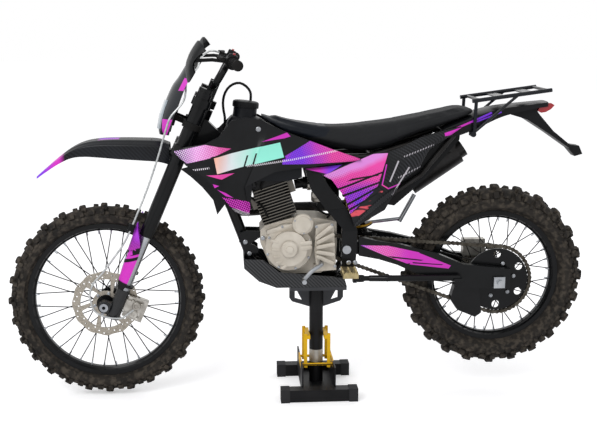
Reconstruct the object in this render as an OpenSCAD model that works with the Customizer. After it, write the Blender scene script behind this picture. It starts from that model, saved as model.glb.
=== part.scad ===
// Enduro dirt bike held upright on a lifting paddock stand.
// The bike faces -X, its left side is -Y, and Z = 0 is the floor under the stand.

/* [Wheels] */
// Distance between the two wheel axles
wheelbase = 1394; // [1394:1:1700]
// Height of the front axle above the floor
front_axle_z = 353; // [345:1:420]
// Height of the rear axle above the floor
rear_axle_z = 418; // [405:1:450]
// Outer radius of the front tyre over its knobs
front_tyre_r = 350; // [340:1:352]
// Outer radius of the rear tyre over its knobs
rear_tyre_r = 336; // [300:1:345]
// Width of the front tyre
front_tyre_w = 90; // [70:1:108]
// Width of the rear tyre
rear_tyre_w = 116; // [90:1:140]
// Bead seat radius of the front rim
front_bead_r = 266.7; // [240:0.1:268]
// Bead seat radius of the rear rim
rear_bead_r = 228.6; // [205:0.1:231]
// Number of spokes in each wheel, a multiple of four
spoke_count = 36; // [28:4:40]
// Diameter of a spoke
spoke_d = 3.6; // [2:0.1:4]
// Radius of the front axle
front_axle_r = 10; // [8:0.5:12]
// Radius of the hole through the front axle
front_axle_bore = 6; // [4:0.5:7]
// Radius of the rear axle
rear_axle_r = 10; // [8:0.5:12]

/* [Fork and steering] */
// Angle of the fork legs from vertical, in degrees
rake = 23.4; // [22:0.1:25]
// Distance of a fork leg from the middle plane
fork_y = 98; // [92:1:118]
// Radius of the upper fork tubes
fork_r = 25; // [22:0.5:29]
// Radius of the sliding lower fork tubes
slider_r = 19; // [16:0.5:20]
// Length of the fork from the axle to its top caps
fork_len = 836; // [836:1:900]
// How far the axle sits ahead of the fork legs
axle_lead = 40; // [36:1:44]
// How far the steering stem sits behind the fork legs
clamp_offset = 24; // [20:1:28]
// Radius of the steering stem
stem_r = 15; // [12:0.5:18]
// Half of the width over the handlebar grips
bar_half_w = 398; // [350:1:480]
// Radius of the handlebar tube
bar_r = 11.1; // [10:0.1:12]
// Radius of the grips
grip_r = 16; // [14:0.5:19]
// Radius of the front brake disc
front_disc_r = 118; // [100:1:125]

/* [Chassis] */
// Distance of the frame castings from the middle plane
casting_y = 105; // [102:1:110]
// Thickness of the frame castings
casting_t = 30; // [24:1:32]
// Radius of the front down tube
down_tube_r = 19; // [15:0.5:22]
// Radius of the rails under the engine
cradle_r = 12; // [9:0.5:13]
// Radius of the seat rails
seat_rail_r = 11; // [8:0.5:13]
// Thickness of the moulded body panels
panel_t = 4; // [3:0.5:5]
// Pitch radius of the rear sprocket
sprocket_r = 121.4; // [100:0.1:125]
// Pitch radius of the gearbox sprocket
drive_sprocket_r = 33.2; // [28:0.1:35]
// Half of the height of the chain
chain_half_h = 7.5; // [5:0.5:8]
// Width of the chain over its pins
chain_w = 15; // [10:0.5:18]
// Radius of the rear brake disc
rear_disc_r = 105; // [90:1:120]
// Length of the side stand leg
side_stand_len = 345; // [300:1:410]
// Radius of the luggage rack tubes
rack_r = 7; // [5:0.5:8]
// Radius of the bolt holes in the luggage rack
rack_hole_r = 4.25; // [3:0.25:5]

/* [Paddock stand] */
// Length of each foot bar
stand_foot_len = 275; // [220:1:330]
// Distance between the two foot bars
stand_foot_gap = 270; // [220:1:330]
// Width of the square foot bars at their rubber ends
stand_foot_w = 48; // [40:1:54]
// Radius of the lifting column
stand_column_r = 25; // [21:0.5:30]

/* [Hidden] */
$fn = 64;
fit = 0.3;              // gap between pieces that are bolted together
run = 0.05;             // radial clearance of a running shaft
front_x = -690;
rear_x = front_x + wheelbase;
pivot = [155, 548];     // swingarm pivot, [x, z]
chain_y = -(rear_tyre_w / 2 + 12.5);
arm_in = 84;            // inner face of the swingarm arms
arm_out = 112;          // outer face of the swingarm arms
drive = [84, 556];      // gearbox sprocket, [x, z]
stem_x = axle_lead + clamp_offset;
lower_clamp = [588, 626];   // fork heights of the lower clamp
upper_clamp = [772, 800];   // fork heights of the upper clamp
bar_mid = [stem_x - 6, 850];
skid_z = 406;           // underside of the skid plate
skid_t = 4;
bend = 1.06;            // size of the ball at a bend, as a share of its tube
rail_z = skid_z + skid_t + fit + cradle_r * bend;  // middle of the rails under the engine
casting_side = casting_y + casting_t / 2;
cover_y = chain_w / 2 - chain_y + 24;       // outer face of the cover over the gearbox sprocket
seat_post_z = 886.3;
stand_x = 60;
stand_h = skid_z - fit;
side_pivot = [212, -98, 436];
side_tilt = 15.3;       // lean of the side stand's hinge bolt

// ---- shared shapes ----

function mix(a, b, t) = a + (b - a) * t;

// Point on the smooth curve through p1 and p2, with neighbours p0 and p3.
function curve_point(p0, p1, p2, p3, t) =
    0.5 * (2 * p1 + (p2 - p0) * t + (2 * p0 - 5 * p1 + 4 * p2 - p3) * t * t
           + (3 * p1 - p0 - 3 * p2 + p3) * t * t * t);
// Smooth curve through points p, with n steps from each point to the next.
function smooth(p, n) =
    let (last = len(p) - 1)
    concat([for (i = [0:last - 1], k = [0:n - 1])
                curve_point(p[max(i - 1, 0)], p[i], p[i + 1], p[min(i + 2, last)], k / n)], [p[last]]);

// Closed solid through rings of equal length, capped at both ends.
// Each ring turns anticlockwise about the direction in which the rings follow each other.
module skin(rings) {
    n = len(rings[0]);
    m = len(rings);
    points = [for (r = rings, p = r) p];
    sides = [for (i = [0:m - 2], k = [0:n - 1])
                let (a = i * n + k, b = i * n + (k + 1) % n) each [[a, a + n, b], [b, a + n, b + n]]];
    first = [for (k = [0:n - 1]) k];
    last = [for (k = [n - 1:-1:0]) (m - 1) * n + k];
    polyhedron(points = points, faces = concat(sides, [first, last]));
}

// Closed shell between rows of points on its outer face and as many on its inner face.
// Seen from outside, a row's points run to the left of the direction in which the rows follow.
module shell(outer, inner) {
    m = len(outer);
    n = len(outer[0]);
    points = concat([for (r = outer, p = r) p], [for (r = inner, p = r) p]);
    off = m * n;
    function at(i, k) = i * n + k;
    front = [for (i = [0:m - 2], k = [0:n - 2]) each
                [[at(i, k), at(i, k + 1), at(i + 1, k)], [at(i + 1, k), at(i, k + 1), at(i + 1, k + 1)]]];
    back = [for (f = front) [f[0] + off, f[2] + off, f[1] + off]];
    edge = concat([for (i = [0:m - 2]) [at(i, 0), at(i + 1, 0)]],
                  [for (k = [0:n - 2]) [at(m - 1, k), at(m - 1, k + 1)]],
                  [for (i = [m - 1:-1:1]) [at(i, n - 1), at(i - 1, n - 1)]],
                  [for (k = [n - 1:-1:1]) [at(0, k), at(0, k - 1)]]);
    walls = [for (e = edge) each [[e[0], e[1], e[0] + off], [e[1], e[1] + off, e[0] + off]]];
    polyhedron(points = points, faces = concat(front, back, walls));
}
// Shell of even thickness: t is the vector from its outer face to its inner face.
module plate(g, t) { shell(g, [for (r = g) [for (p = r) p + t]]); }

// Straight round bar from a to b.
module rod(a, b, r) {
    v = b - a;
    translate(a)
        rotate([0, acos(v[2] / norm(v)), atan2(v[1], v[0])])
            cylinder(r = r, h = norm(v));
}

// Welded run of straight round bars, with a slightly larger ball at each bend.
module struts(p, r) {
    for (i = [0:len(p) - 2]) rod(p[i], p[i + 1], r);
    for (i = [1:1:len(p) - 2]) translate(p[i]) sphere(r = r * bend, $fn = 32);
}

// Bent tube swept along points p, with its rings squared to vector up.
module tube(p, r, sides = 12, up = [0, 1, 0]) {
    last = len(p) - 1;
    skin([for (i = [0:last])
            let (d = p[min(i + 1, last)] - p[max(i - 1, 0)], t = d / norm(d),
                 s = cross(up, t) / norm(cross(up, t)), q = cross(t, s),
                 rr = is_list(r) ? r[i] : r)
            [for (k = [0:sides - 1]) p[i] + rr * (s * cos(k * 360 / sides) + q * sin(k * 360 / sides))]]);
}

// Turns an outline in X and Z into a plate from y0 to y1.
module side_plate(y0, y1) {
    translate([0, y1, 0]) rotate([90, 0, 0]) linear_extrude(y1 - y0) children();
}
// Puts children on a wheel axis, with local +Z towards the left side.
module on_axis(x, z) { translate([x, 0, z]) rotate([90, 0, 0]) children(); }
// Puts children in the fork's own frame: origin on the front axle, +Z up along the legs, +X to the rear.
module steer() { translate([front_x, 0, front_axle_z]) rotate([0, rake, 0]) children(); }
function to_world(p) = [front_x + p[0] * cos(rake) + p[2] * sin(rake), p[1],
                        front_axle_z - p[0] * sin(rake) + p[2] * cos(rake)];
// Puts children on the side stand's hinge, with +Z along its bolt and +Y towards the ground.
module stand_hinge() { translate(side_pivot) rotate([-90 - side_tilt, 0, 0]) children(); }
module both_sides() { children(); mirror([0, 1, 0]) children(); }

// ---- wheels ----

// Section of a tyre: a rounded crown over two walls that reach the rim's bead seats.
module tyre_section(outer, w, bead, wall) {
    mid = outer - w / 2;
    flange = bead + 15;
    inner_w = w / 2 - wall;
    polygon(concat(
        [[bead + fit, 20], [flange, 20]],
        [for (a = [112:-8:-112]) [mid + w / 2 * cos(a), w / 2 * sin(a)]],
        [[flange, -20], [bead + fit, -20], [bead + fit, -12], [flange + 3, -12]],
        [for (a = [-100:10:100]) [mid + inner_w * cos(a), inner_w * sin(a)]],
        [[flange + 3, 12], [bead + fit, 12]]));
}

// Section of a spoked rim: two flanges and a sunk middle.
module rim_section(bead) {
    polygon([[bead - 14, -9], [bead - 14, 9], [bead - 8, 14], [bead - 4, 23], [bead + 12, 23], [bead + 12, 20 + fit],
             [bead, 20 + fit], [bead - 3, 12], [bead - 8, 6], [bead - 8, -6], [bead - 3, -12],
             [bead, -20 - fit], [bead + 12, -20 - fit], [bead + 12, -23], [bead - 4, -23], [bead - 8, -14]]);
}

// Spokes that lean both ways from each hub flange to the rim.
module spokes(hub_r, flange_y, rim_r) {
    lean = 55;
    quarter = spoke_count / 4;
    for (k = [0:quarter - 1], side = [-1, 1], way = [-1, 1]) {
        a = (k + (side > 0 ? 0.5 : 0) + (way > 0 ? 0 : 0.5)) * 360 / quarter;
        b = a + way * lean;
        rod([hub_r * cos(a), hub_r * sin(a), side * flange_y + way * 3.2],
            [(rim_r - 0.5) * cos(b), (rim_r - 0.5) * sin(b), side * 5], spoke_d / 2);
    }
}

module hub(axle_r, flange_y, flange_r, barrel_r, left, right) {
    difference() {
        union() {
            translate([0, 0, -right]) cylinder(r = barrel_r, h = left + right);
            for (side = [-1, 1]) translate([0, 0, side * flange_y - 5.5]) cylinder(r = flange_r, h = 11);
            children();
        }
        translate([0, 0, -right - 1]) cylinder(r = axle_r + run, h = left + right + 2);
    }
}

module front_tyre() {
    color("dimgray") on_axis(front_x, front_axle_z)
        rotate_extrude() tyre_section(front_tyre_r, front_tyre_w, front_bead_r, 12);
}
module rear_tyre() {
    color("dimgray") on_axis(rear_x, rear_axle_z)
        rotate_extrude() tyre_section(rear_tyre_r, rear_tyre_w, rear_bead_r, 14);
}
module front_rim() {
    color("black") on_axis(front_x, front_axle_z) rotate_extrude() rim_section(front_bead_r);
}
module rear_rim() {
    color("black") on_axis(rear_x, rear_axle_z) rotate_extrude() rim_section(rear_bead_r);
}
front_hub_left = 79;
module front_hub() {
    color("black") on_axis(front_x, front_axle_z)
        hub(front_axle_r, 30, 33, 21, front_hub_left, front_hub_left) {
            spokes(30, 30, front_bead_r - 14 - fit);
            translate([0, 0, 50]) cylinder(r = 34, h = 10 - fit);
        }
}
module rear_hub() {
    color("black") on_axis(rear_x, rear_axle_z)
        hub(rear_axle_r, 32, 48, 30, 83, 83) {
            spokes(45, 32, rear_bead_r - 14 - fit);
            translate([0, 0, 38]) cylinder(r = 50, h = -chain_y - 3.5 - fit - 38);
            translate([0, 0, -60 + fit]) cylinder(r = 40, h = 22);
        }
}
module front_disc() {
    color("silver") on_axis(front_x, front_axle_z) translate([0, 0, 60])
        difference() {
            cylinder(r = front_disc_r, h = 4);
            translate([0, 0, -1]) cylinder(r = 21 + fit, h = 6);
        }
}
module rear_disc() {
    color("silver") on_axis(rear_x, rear_axle_z) translate([0, 0, -64])
        difference() {
            cylinder(r = rear_disc_r, h = 4);
            translate([0, 0, -1]) cylinder(r = 30 + fit, h = 6);
        }
}
module rear_sprocket() {
    color("black") on_axis(rear_x, rear_axle_z) translate([0, 0, -chain_y - 3.5])
        difference() {
            cylinder(r = sprocket_r - chain_half_h - 1, h = 7);
            translate([0, 0, -1]) cylinder(r = 30 + fit, h = 9);
            for (a = [30:60:330]) rotate(a) translate([sprocket_r * 0.76, 0, -1]) cylinder(r = 14, h = 9);
        }
}

// ---- fork and steering ----

module fork_uppers() {
    color("black") steer() both_sides() translate([axle_lead, fork_y, 0])
        difference() {
            union() {
                translate([0, 0, 288]) cylinder(r = fork_r, h = fork_len - 288 - 14);
                translate([0, 0, fork_len - 14]) cylinder(r = fork_r - 3, h = 14);
            }
            translate([0, 0, 287]) cylinder(r = slider_r + fit, h = 90);
        }
}
// Sliding tubes with the lugs that hold the axle.
module fork_lowers() {
    color("silver") steer() both_sides() translate([0, fork_y, 0])
        difference() {
            union() {
                translate([axle_lead, 0, -28]) cylinder(r = slider_r + 4, h = 110);
                translate([axle_lead, 0, 60]) cylinder(r = slider_r, h = 310);
                rotate([90, 0, 0]) cylinder(r = 21, h = 34, center = true);
                translate([0, -13, -21]) cube([axle_lead, 26, 42]);
            }
            rotate([90, 0, 0]) cylinder(r = front_axle_r + run, h = 80, center = true);
        }
}
module front_axle() {
    color("silver") on_axis(front_x, front_axle_z)
        difference() {
            union() {
                translate([0, 0, -fork_y - 24]) cylinder(r = front_axle_r, h = 2 * fork_y + 48);
                translate([0, 0, fork_y + 17 + fit]) cylinder(r = front_axle_r + 5, h = 8);
            }
            translate([0, 0, -fork_y - 40]) cylinder(r = front_axle_bore, h = 2 * fork_y + 80);
        }
}
// Front shell of a fork leg, wide in the middle and pointed at the top.
module fork_guards() {
    heights = [84, 110, 180, 240, 285, 322];
    radii = [27, 31, 38, 42, 44, 45];
    spread = [85, 95, 95, 90, 60, 12];
    wall = 3;
    color("purple") steer() both_sides() translate([axle_lead, fork_y, 0]) {
        translate([0, 0, 96]) difference() {
            cylinder(r = 28.5, h = 8);
            translate([0, 0, -1]) cylinder(r = slider_r + fit, h = 10);
        }
        skin([for (i = [0:5])
            concat([for (k = [0:10]) let (a = 180 + spread[i] * (k / 5 - 1))
                        [radii[i] * cos(a), radii[i] * sin(a), heights[i]]],
                   [for (k = [10:-1:0]) let (a = 180 + spread[i] * (k / 5 - 1))
                        [(radii[i] - wall) * cos(a), (radii[i] - wall) * sin(a), heights[i]]])]);
    }
}
module clamp_plate(z, h, boss) {
    translate([0, 0, z]) difference() {
        union() {
            for (s = [-1, 1]) translate([axle_lead, s * fork_y, 0]) cylinder(r = boss, h = h);
            translate([stem_x, 0, 0]) cylinder(r = stem_r + 12, h = h);
            translate([axle_lead - 8, -fork_y, 0]) cube([26, 2 * fork_y, h]);
        }
        for (s = [-1, 1]) translate([axle_lead, s * fork_y, -1]) cylinder(r = fork_r + fit, h = h + 2);
    }
}
module fork_clamps() {
    color("black") steer() {
        clamp_plate(lower_clamp[0], lower_clamp[1] - lower_clamp[0], fork_r + 8);
        clamp_plate(upper_clamp[0], upper_clamp[1] - upper_clamp[0], fork_r + 7);
        translate([stem_x, 0, lower_clamp[1] - 1]) cylinder(r = stem_r, h = upper_clamp[0] - lower_clamp[1] + 2);
        difference() {
            both_sides() translate([bar_mid[0] - 17, 32, upper_clamp[1] - 1])
                cube([34, 26, bar_mid[1] + 18 - upper_clamp[1]]);
            translate([bar_mid[0], 0, bar_mid[1]]) rotate([90, 0, 0])
                cylinder(r = bar_r + fit, h = 200, center = true);
        }
    }
}
// Right half of the handlebar's middle line, in the fork's frame.
bar_inner = [[0, 0], [0, 62], [1, 78], [4, 94], [8, 112], [12, 140], [14, 170], [16, 200]];
bar_rise = [0, 0, 3, 14, 38, 76, 98, 104];
bar_sweep = 24;
bar_end_rise = 109;
function bar_half() = concat(
    [for (i = [0:7]) [bar_mid[0] + bar_inner[i][0], bar_inner[i][1], bar_mid[1] + bar_rise[i]]],
    [[bar_mid[0] + 16 + bar_sweep, bar_half_w, bar_mid[1] + bar_end_rise]]);
function flip_y(p) = [p[0], -p[1], p[2]];
module handlebar() {
    half = bar_half();
    path = concat([for (i = [8:-1:1]) flip_y(half[i])], [for (i = [1:8]) half[i]]);
    color("black") steer() tube(path, bar_r, 12, [0, 0, 1]);
}
// Point on the straight outer part of the bar, at distance y from the middle.
function bar_at(y) = let (a = bar_half()[7], b = bar_half()[8]) mix(a, b, (y - a[1]) / (b[1] - a[1]));
// Rubber grips, and the clutch and brake levers with their clamps.
module hand_controls() {
    inner = bar_half_w - 170;
    color("black") steer() both_sides() {
        difference() {
            union() {
                rod(bar_at(bar_half_w - 124), bar_at(bar_half_w), grip_r);
                rod(bar_at(bar_half_w - 130), bar_at(bar_half_w - 122), grip_r + 6);
            }
            rod(bar_at(bar_half_w - 150), bar_at(bar_half_w + 20), bar_r + fit);
        }
        difference() {
            union() {
                rod(bar_at(inner), bar_at(inner + 26), bar_r + 8);
                translate(bar_at(inner + 13)) translate([-44, -14, -8]) cube([40, 28, 14]);
                struts([bar_at(inner + 13) + [-38, 0, 0], bar_at(inner + 50) + [-50, 0, 0],
                        bar_at(bar_half_w - 10) + [-48, 0, 0]], 6);
            }
            rod(bar_at(inner - 20), bar_at(inner + 60), bar_r + fit);
        }
    }
}
// Shield in front of each hand, carried by an arm that clamps the bar.
module hand_guards() {
    ys = [180, 215, 260, 310, 355, 392, 408];
    tops = [1218, 1242, 1258, 1268, 1270, 1258, 1240];
    lows = [1196, 1176, 1154, 1143, 1142, 1156, 1176];
    fronts = [-368, -374, -378, -378, -374, -364, -352];
    module shield() {
        plate([for (i = [0:6]) [for (k = [0:6])
            let (t = k / 6) [fronts[i] + 34 * t * t - 10 * sin(180 * t), -ys[i], mix(lows[i], tops[i], t)]]],
            [panel_t, 0, 0]);
    }
    color("dimgray") both_sides() {
        mirror([0, 1, 0]) shield();
        difference() {
            union() {
                steer() rod(bar_at(202), bar_at(216), bar_r + 7);
                struts([to_world(bar_at(209)), [-300, 210, 1206], [-375.5, 228, 1203]], 6);
            }
            steer() rod(bar_at(180), bar_at(240), bar_r + fit);
        }
    }
}
// Fender: an arched strip with side skirts, swept from its pointed tip to its rear end.
fender_line = [[-917, 799], [-880, 832], [-835, 870], [-790, 902], [-745, 922], [-690, 931], [-620, 933],
               [-550, 932], [-495, 929], [-455, 916]];
fender_w = [10, 30, 44, 52, 60, 64, 66, 66, 64, 58];
fender_drop = [8, 14, 22, 32, 46, 58, 66, 70, 72, 70];
module front_fender() {
    function row(i, t) = let (p = fender_line[i], w = fender_w[i] - t, d = fender_drop[i] - t)
        [for (k = [-8:8]) let (a = abs(k) / 8) [p[0], w * sign(k) * min(1, a * 1.55), p[1] - t - d * pow(a, 3)]];
    color("indigo") shell([for (i = [0:9]) row(i, 0)], [for (i = [0:9]) row(i, panel_t)]);
    color("black") steer() translate([0, -25, lower_clamp[0] - 20 - fit]) {
        translate([-70, 0, 0]) cube([30, 50, 29]);
        translate([-60, 0, 0]) cube([134, 50, 20]);
    }
}
// Headlight mask: a curved shell that narrows upwards.
mask_z = [944, 965, 1016, 1064, 1112, 1140, 1178];
mask_x = [-490, -492, -482, -464, -441, -420, -396];
mask_w = [58, 72, 92, 98, 90, 80, 62];
mask_deep = [36, 44, 50, 50, 48, 44, 34];
// Point on the mask at row i and share u of its half width, t inside its outer face.
function mask_at(i, u, t) =
    [mask_x[i] + t + (mask_deep[i] - t) * pow(abs(u), 2.4), (mask_w[i] - t) * u, mask_z[i]];
module headlight_mask() {
    function grid(t) = [for (i = [0:6]) [for (k = [-8:8]) mask_at(i, k / 8, t)]];
    color("black") {
        shell(grid(0), grid(panel_t));
        translate([-468, 0, 1016]) rotate([0, 106, 0]) cylinder(r1 = 50, r2 = 34, h = 40);
        steer() both_sides() difference() {
            union() {
                translate([-58, 40, 690]) cube([80, 12, 22]);
                translate([8, 40, 690]) cube([14, 40, 22]);
                translate([axle_lead, fork_y, 690]) cylinder(r = fork_r + 7, h = 22);
            }
            translate([axle_lead, fork_y, 680]) cylinder(r = fork_r + fit, h = 40);
        }
    }
}
module headlight() {
    function grid(t) = [for (i = [1:3]) [for (k = [-4:4]) mask_at(i, k / 8, 0) - [t, 0, 0]]];
    color("white") shell(grid(6 + fit), grid(fit));
}
module front_caliper() {
    color("silver") steer() difference() {
        union() {
            translate([66, -88, -12]) cube([72, 42, 76]);
            translate([axle_lead + slider_r + 4 + fit, -98, 12]) cube([60, 12, 40]);
        }
        on_axis(0, 0) translate([0, 0, 55]) cylinder(r = front_disc_r + 5, h = 14);
    }
}
// Route of the front brake hose, from the bar to the caliper.
hose_route = [to_world([34.4, 232, 954]), to_world([18, 228, 953]), [-316, 200, 1221], [-340, 150, 1205],
              [-350, 92, 1186], [-353, 62, 1172], [-364, 24, 1159], [-382, -12, 1145], [-391, -42, 1126], [-392, -72, 1102],
              [-396, -92, 1075], [-406, -104, 1055], [-424, -110, 1035], [-448, -112, 1005], [-470, -112, 940],
              [-492, -108, 870], [-528, -114, 770], [-566, -126, 680], [-608, -130, 590], [-650, -130, 530],
              [-688, -128, 480], [-720, -127, 445], [-735, -127, 405], [-731, -127, 370], [-715, -127, 338],
              [-676, -127, 320], [-632, -126, 316], [-612, -119, 326], [-590, -101.7, 338]];
module brake_hose() {
    color("silver") tube(smooth(hose_route, 3), 3.4, 8, [0, 1, 0.01]);
}

// ---- frame ----

module frame() {
    color("black") {
        difference() {
            union() {
                steer() translate([stem_x, 0, lower_clamp[1] + 5.5])
                    cylinder(r = stem_r + 11, h = upper_clamp[0] - lower_clamp[1] - 11);
                side_plate(-24, 24)
                    polygon([[-382, 925], [-345, 1005], [-322, 990], [-262, 930], [-200, 905], [40, 868], [40, 826],
                             [-240, 852], [-330, 868]]);
                translate([-160, -20, 880]) cube([20, 40, 26.5]);
                struts([[-322, 0, 888], [-246, 0, 690], [-172, 0, 490]], down_tube_r);
            }
            steer() translate([stem_x, 0, lower_clamp[1] - 20])
                cylinder(r = stem_r + run, h = upper_clamp[0] - lower_clamp[1] + 40);
        }
        translate([8, -casting_y, 822]) cube([32, 2 * casting_y, 46]);
        both_sides() side_plate(20 + fit, 30) polygon([[20, 866], [150, 852], [170, 838], [166, 814], [20, 828]]);
        both_sides() side_plate(casting_y - casting_t / 2, casting_side)
            difference() {
                polygon([[4, 850], [30, 760], [83, 688], [139, 622], [139, 560], [139, 468], [186, 466], [190, 540],
                         [193, 612], [158, 688], [96, 766], [44, 850]]);
                translate(pivot) circle(r = 8 + fit);
            }
        for (p = [[162, 462, 9], [128, 690, 12]]) translate([p[0], 0, p[1]]) rotate([90, 0, 0])
            cylinder(r = p[2], h = 2 * casting_y - casting_t + 2, center = true);
        both_sides() struts([[-180, 12, 500], [-142, 52, 468], [-78, 62, rail_z], [132, 62, rail_z], [156, 72, 458]],
                            cradle_r);
        both_sides() side_plate(34, 40)
            polygon([[-220, 592], [-196, 602], [-143 - fit, 600], [-143 - fit, 578], [-176, 556], [-150, 540],
                     [-150, 522], [-186, 508], [-196, 512]]);
        translate([-218, -38, 560]) cube([14, 76, 10]);
        translate([180, -116, 425]) cube([12.5, 28, 50]);
        stand_hinge() {
            for (z = [-11, 5 + fit]) translate([0, 0, z]) {
                cylinder(r = 13, h = 6 - fit);
                translate([-24, -13, 0]) cube([24, 26, 6 - fit]);
            }
            translate([0, 0, -14]) cylinder(r = 6, h = 28);
        }
    }
}
module subframe() {
    color("black") {
        both_sides() {
            tube([[41, 80, 856], [240, 80, 868], [420, 71, 920], [590, 63, 980], [700, 51, 1014.2]],
                 seat_rail_r, 16);
            tube([[180, 97, 646], [420, 72, 800], [546, 72, 954]], seat_rail_r - 2, 16);
            translate([588, 64, 938]) cube([16, 10, 40]);
            translate([588, 64, 938]) cube([16, 20 - fit, 12]);
            translate([250, 40, 868]) cylinder(r = 6, h = seat_post_z - 868);
        }
        for (p = [[250, 868, 150], [590, 980, 154]]) translate([p[0], 0, p[1]]) rotate([90, 0, 0])
            cylinder(r = seat_rail_r - 3, h = p[2], center = true);
    }
}
module swingarm() {
    block_front = rear_x - 150;
    color("black") both_sides() {
        difference() {
            union() {
                side_plate(arm_in, arm_out) polygon([
                    [200, 590], [270, 573], [345, 560], [block_front - 80, 527], [block_front + 20, 484],
                    [rear_x + 40, 464], [rear_x + 40, 392], [block_front + 10, 398], [block_front - 30, 430],
                    [405, 455], [335, 487], [270, 508], [200, 522]]);
                side_plate(58, arm_in + 1) polygon([[136, 530], [136, 566], [160, 570], [290, 560], [290, 520], [160, 522]]);
            }
            side_plate(arm_in - 30, arm_out + 2) {
                translate(pivot) circle(r = 8 + fit);
                translate([rear_x, rear_axle_z]) circle(r = rear_axle_r + fit);
            }
        }
    }
    color("black") {
        translate([222, -60, 520]) cube([62, 120, 38]);
        both_sides() translate([226, 20 + fit, 540]) cube([30, 10, 50]);
        chain_guide();
    }
}
// Rear wheel axle with its square blocks, and the bolt that the swingarm turns on.
module rear_axle() {
    color("silver") on_axis(pivot[0], pivot[1]) {
        translate([0, 0, -casting_y - 22]) cylinder(r = 8, h = 2 * casting_y + 44);
        for (s = [-1, 1]) translate([0, 0, s * (casting_side + fit + 5) - 5]) cylinder(r = 15, h = 10);
    }
    color("silver") on_axis(rear_x, rear_axle_z) {
        translate([0, 0, -arm_out - 24]) cylinder(r = rear_axle_r, h = 2 * arm_out + 48);
        for (s = [-1, 1]) translate([-22, -20, s > 0 ? arm_out + fit : -arm_out - fit - 12]) cube([40, 40, 12]);
    }
}
// Rear shock: a damper body inside a coil, from the frame to the swingarm.
module shock() {
    top = [150, 0, 830];
    low = [240, 0, 575];
    axis = (low - top) / norm(low - top);
    color("gold") {
        rod(top, low, 12);
        rod(top + axis * 28, top + axis * 62, 26);
        rod(top + axis * 50, low - axis * 30, 34);
        translate(low) rotate([90, 0, 0]) cylinder(r = 16, h = 40, center = true);
        translate(top) rotate([90, 0, 0]) cylinder(r = 16, h = 40, center = true);
    }
}
// Outline of the chain's loop, grown by a distance from its pitch line.
module chain_outline(grow) {
    rear_r = sprocket_r + grow;
    front_r = drive_sprocket_r + grow;
    dx = rear_x - drive[0];
    dz = rear_axle_z - drive[1];
    tilt = atan2(dz, dx);
    half = acos((front_r - rear_r) / norm([dx, dz]));
    polygon(concat(
        [for (k = [0:12]) let (a = tilt + half + (360 - 2 * half) * k / 12)
            [drive[0] + front_r * cos(a), drive[1] + front_r * sin(a)]],
        [for (k = [0:24]) let (a = tilt - half + 2 * half * k / 24)
            [rear_x + rear_r * cos(a), rear_axle_z + rear_r * sin(a)]]));
}
module chain() {
    color("dimgray") side_plate(chain_y - chain_w / 2, chain_y + chain_w / 2)
        difference() {
            chain_outline(chain_half_h);
            chain_outline(-chain_half_h);
        }
}
// Guide under the swingarm that the lower run of the chain passes through.
module chain_guide() {
    x = 596;
    slot = 4;
    run_z = 328.8;      // middle of the lower run at x
    slope = 0.3745;
    difference() {
        side_plate(-arm_in - 8, chain_y + chain_w / 2 + 8)
            polygon([[x - 48, 402], [x + 40, 402], [x + 52, 300], [x + 30, 284], [x - 36, 312], [x - 62, 352]]);
        side_plate(chain_y - chain_w / 2 - slot, chain_y + chain_w / 2 + slot) {
            polygon([for (p = [[-100, -1], [100, -1], [100, 1], [-100, 1]])
                        [x + p[0], run_z - slope * p[0] + p[1] * (chain_half_h + slot + 0.5)]]);
            translate([rear_x, rear_axle_z]) circle(r = sprocket_r + chain_half_h + slot);
        }
    }
}
module rear_caliper() {
    color("silver") difference() {
        union() {
            translate([608, 48, 478]) cube([82, arm_in - fit - 48, 62]);
            translate([640, 74, 440]) cube([40, arm_in - fit - 74, 60]);
        }
        on_axis(rear_x, rear_axle_z) translate([0, 0, -69]) cylinder(r = rear_disc_r + 5, h = 14);
    }
}

// ---- engine ----

module engine_case() {
    color("tan") {
        side_plate(-58, 84)
            polygon([[-143, 606], [-128, 624], [-30, 650], [60, 648], [126, 634], [128, 560], [124, 482], [70, 450],
                     [-60, 448], [-112, 486], [-143, 560]]);
        on_axis(-44, 550) {
            translate([0, 0, 50]) cylinder(r = 84, h = 34);
            translate([0, 0, 60]) cylinder(r = 62, h = 52);
            translate([0, 0, 60]) cylinder(r = 20, h = 58);
        }
        on_axis(4, 636) translate([0, 0, 50]) cylinder(r = 32, h = 52);
        on_axis(-40, 545) translate([0, 0, -118]) cylinder(r = 80, h = 40);
        on_axis(drive[0], drive[1]) {
            translate([0, 0, 50]) cylinder(r = 12, h = 22);
            translate([0, 0, -chain_y - 3.5]) cylinder(r = drive_sprocket_r - chain_half_h - 1, h = 7);
        }
        side_plate(-cover_y, 16 - cover_y)
            polygon([[50, 632], [98, 640], [112, 628], [120, 480], [52, 476], [44, 540]]);
        side_plate(-cover_y, -57) polygon([[44, 474], [52, 466], [122, 470], [120, 486], [44, 486]]);
    }
}
// Air-cooled barrel and head: a core with stacked fins, leaning forward.
cylinder_lean = -18;
module engine_barrel() {
    color("dimgray") translate([-72, 0, 641 + 3]) rotate([0, cylinder_lean, 0]) {
        translate([-44, -44, 0]) cube([88, 88, 128]);
        for (k = [0:11]) translate([-63, -60, 6 + k * 10.4]) cube([126, 120, 3.2]);
        translate([-50, -50, 122]) cube([100, 100, 10]);
        translate([-80, 0, 52]) cube([60, 40, 40]);
        translate([20, -22, 74]) cube([64, 44, 40]);
    }
}
module intake() {
    color("black") {
        rod([-18.4, 0, 760.2], [18, 0, 767], 17);
        rod([10, 0, 765], [96, 0, 765], 22);
        tube(smooth([[90, 0, 765], [109, 17, 765], [144, 54, 768], [190, 58, 772], [266, 54, 776]], 3), 17, 16, [0, 0, 1]);
        translate([44, -24, 702]) cube([44, 48, 50]);
        rod([66, 0, 770], [66, 0, 800], 16);
        rod([62, -44, 762], [62, 44, 762], 14);
    }
}
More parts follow.
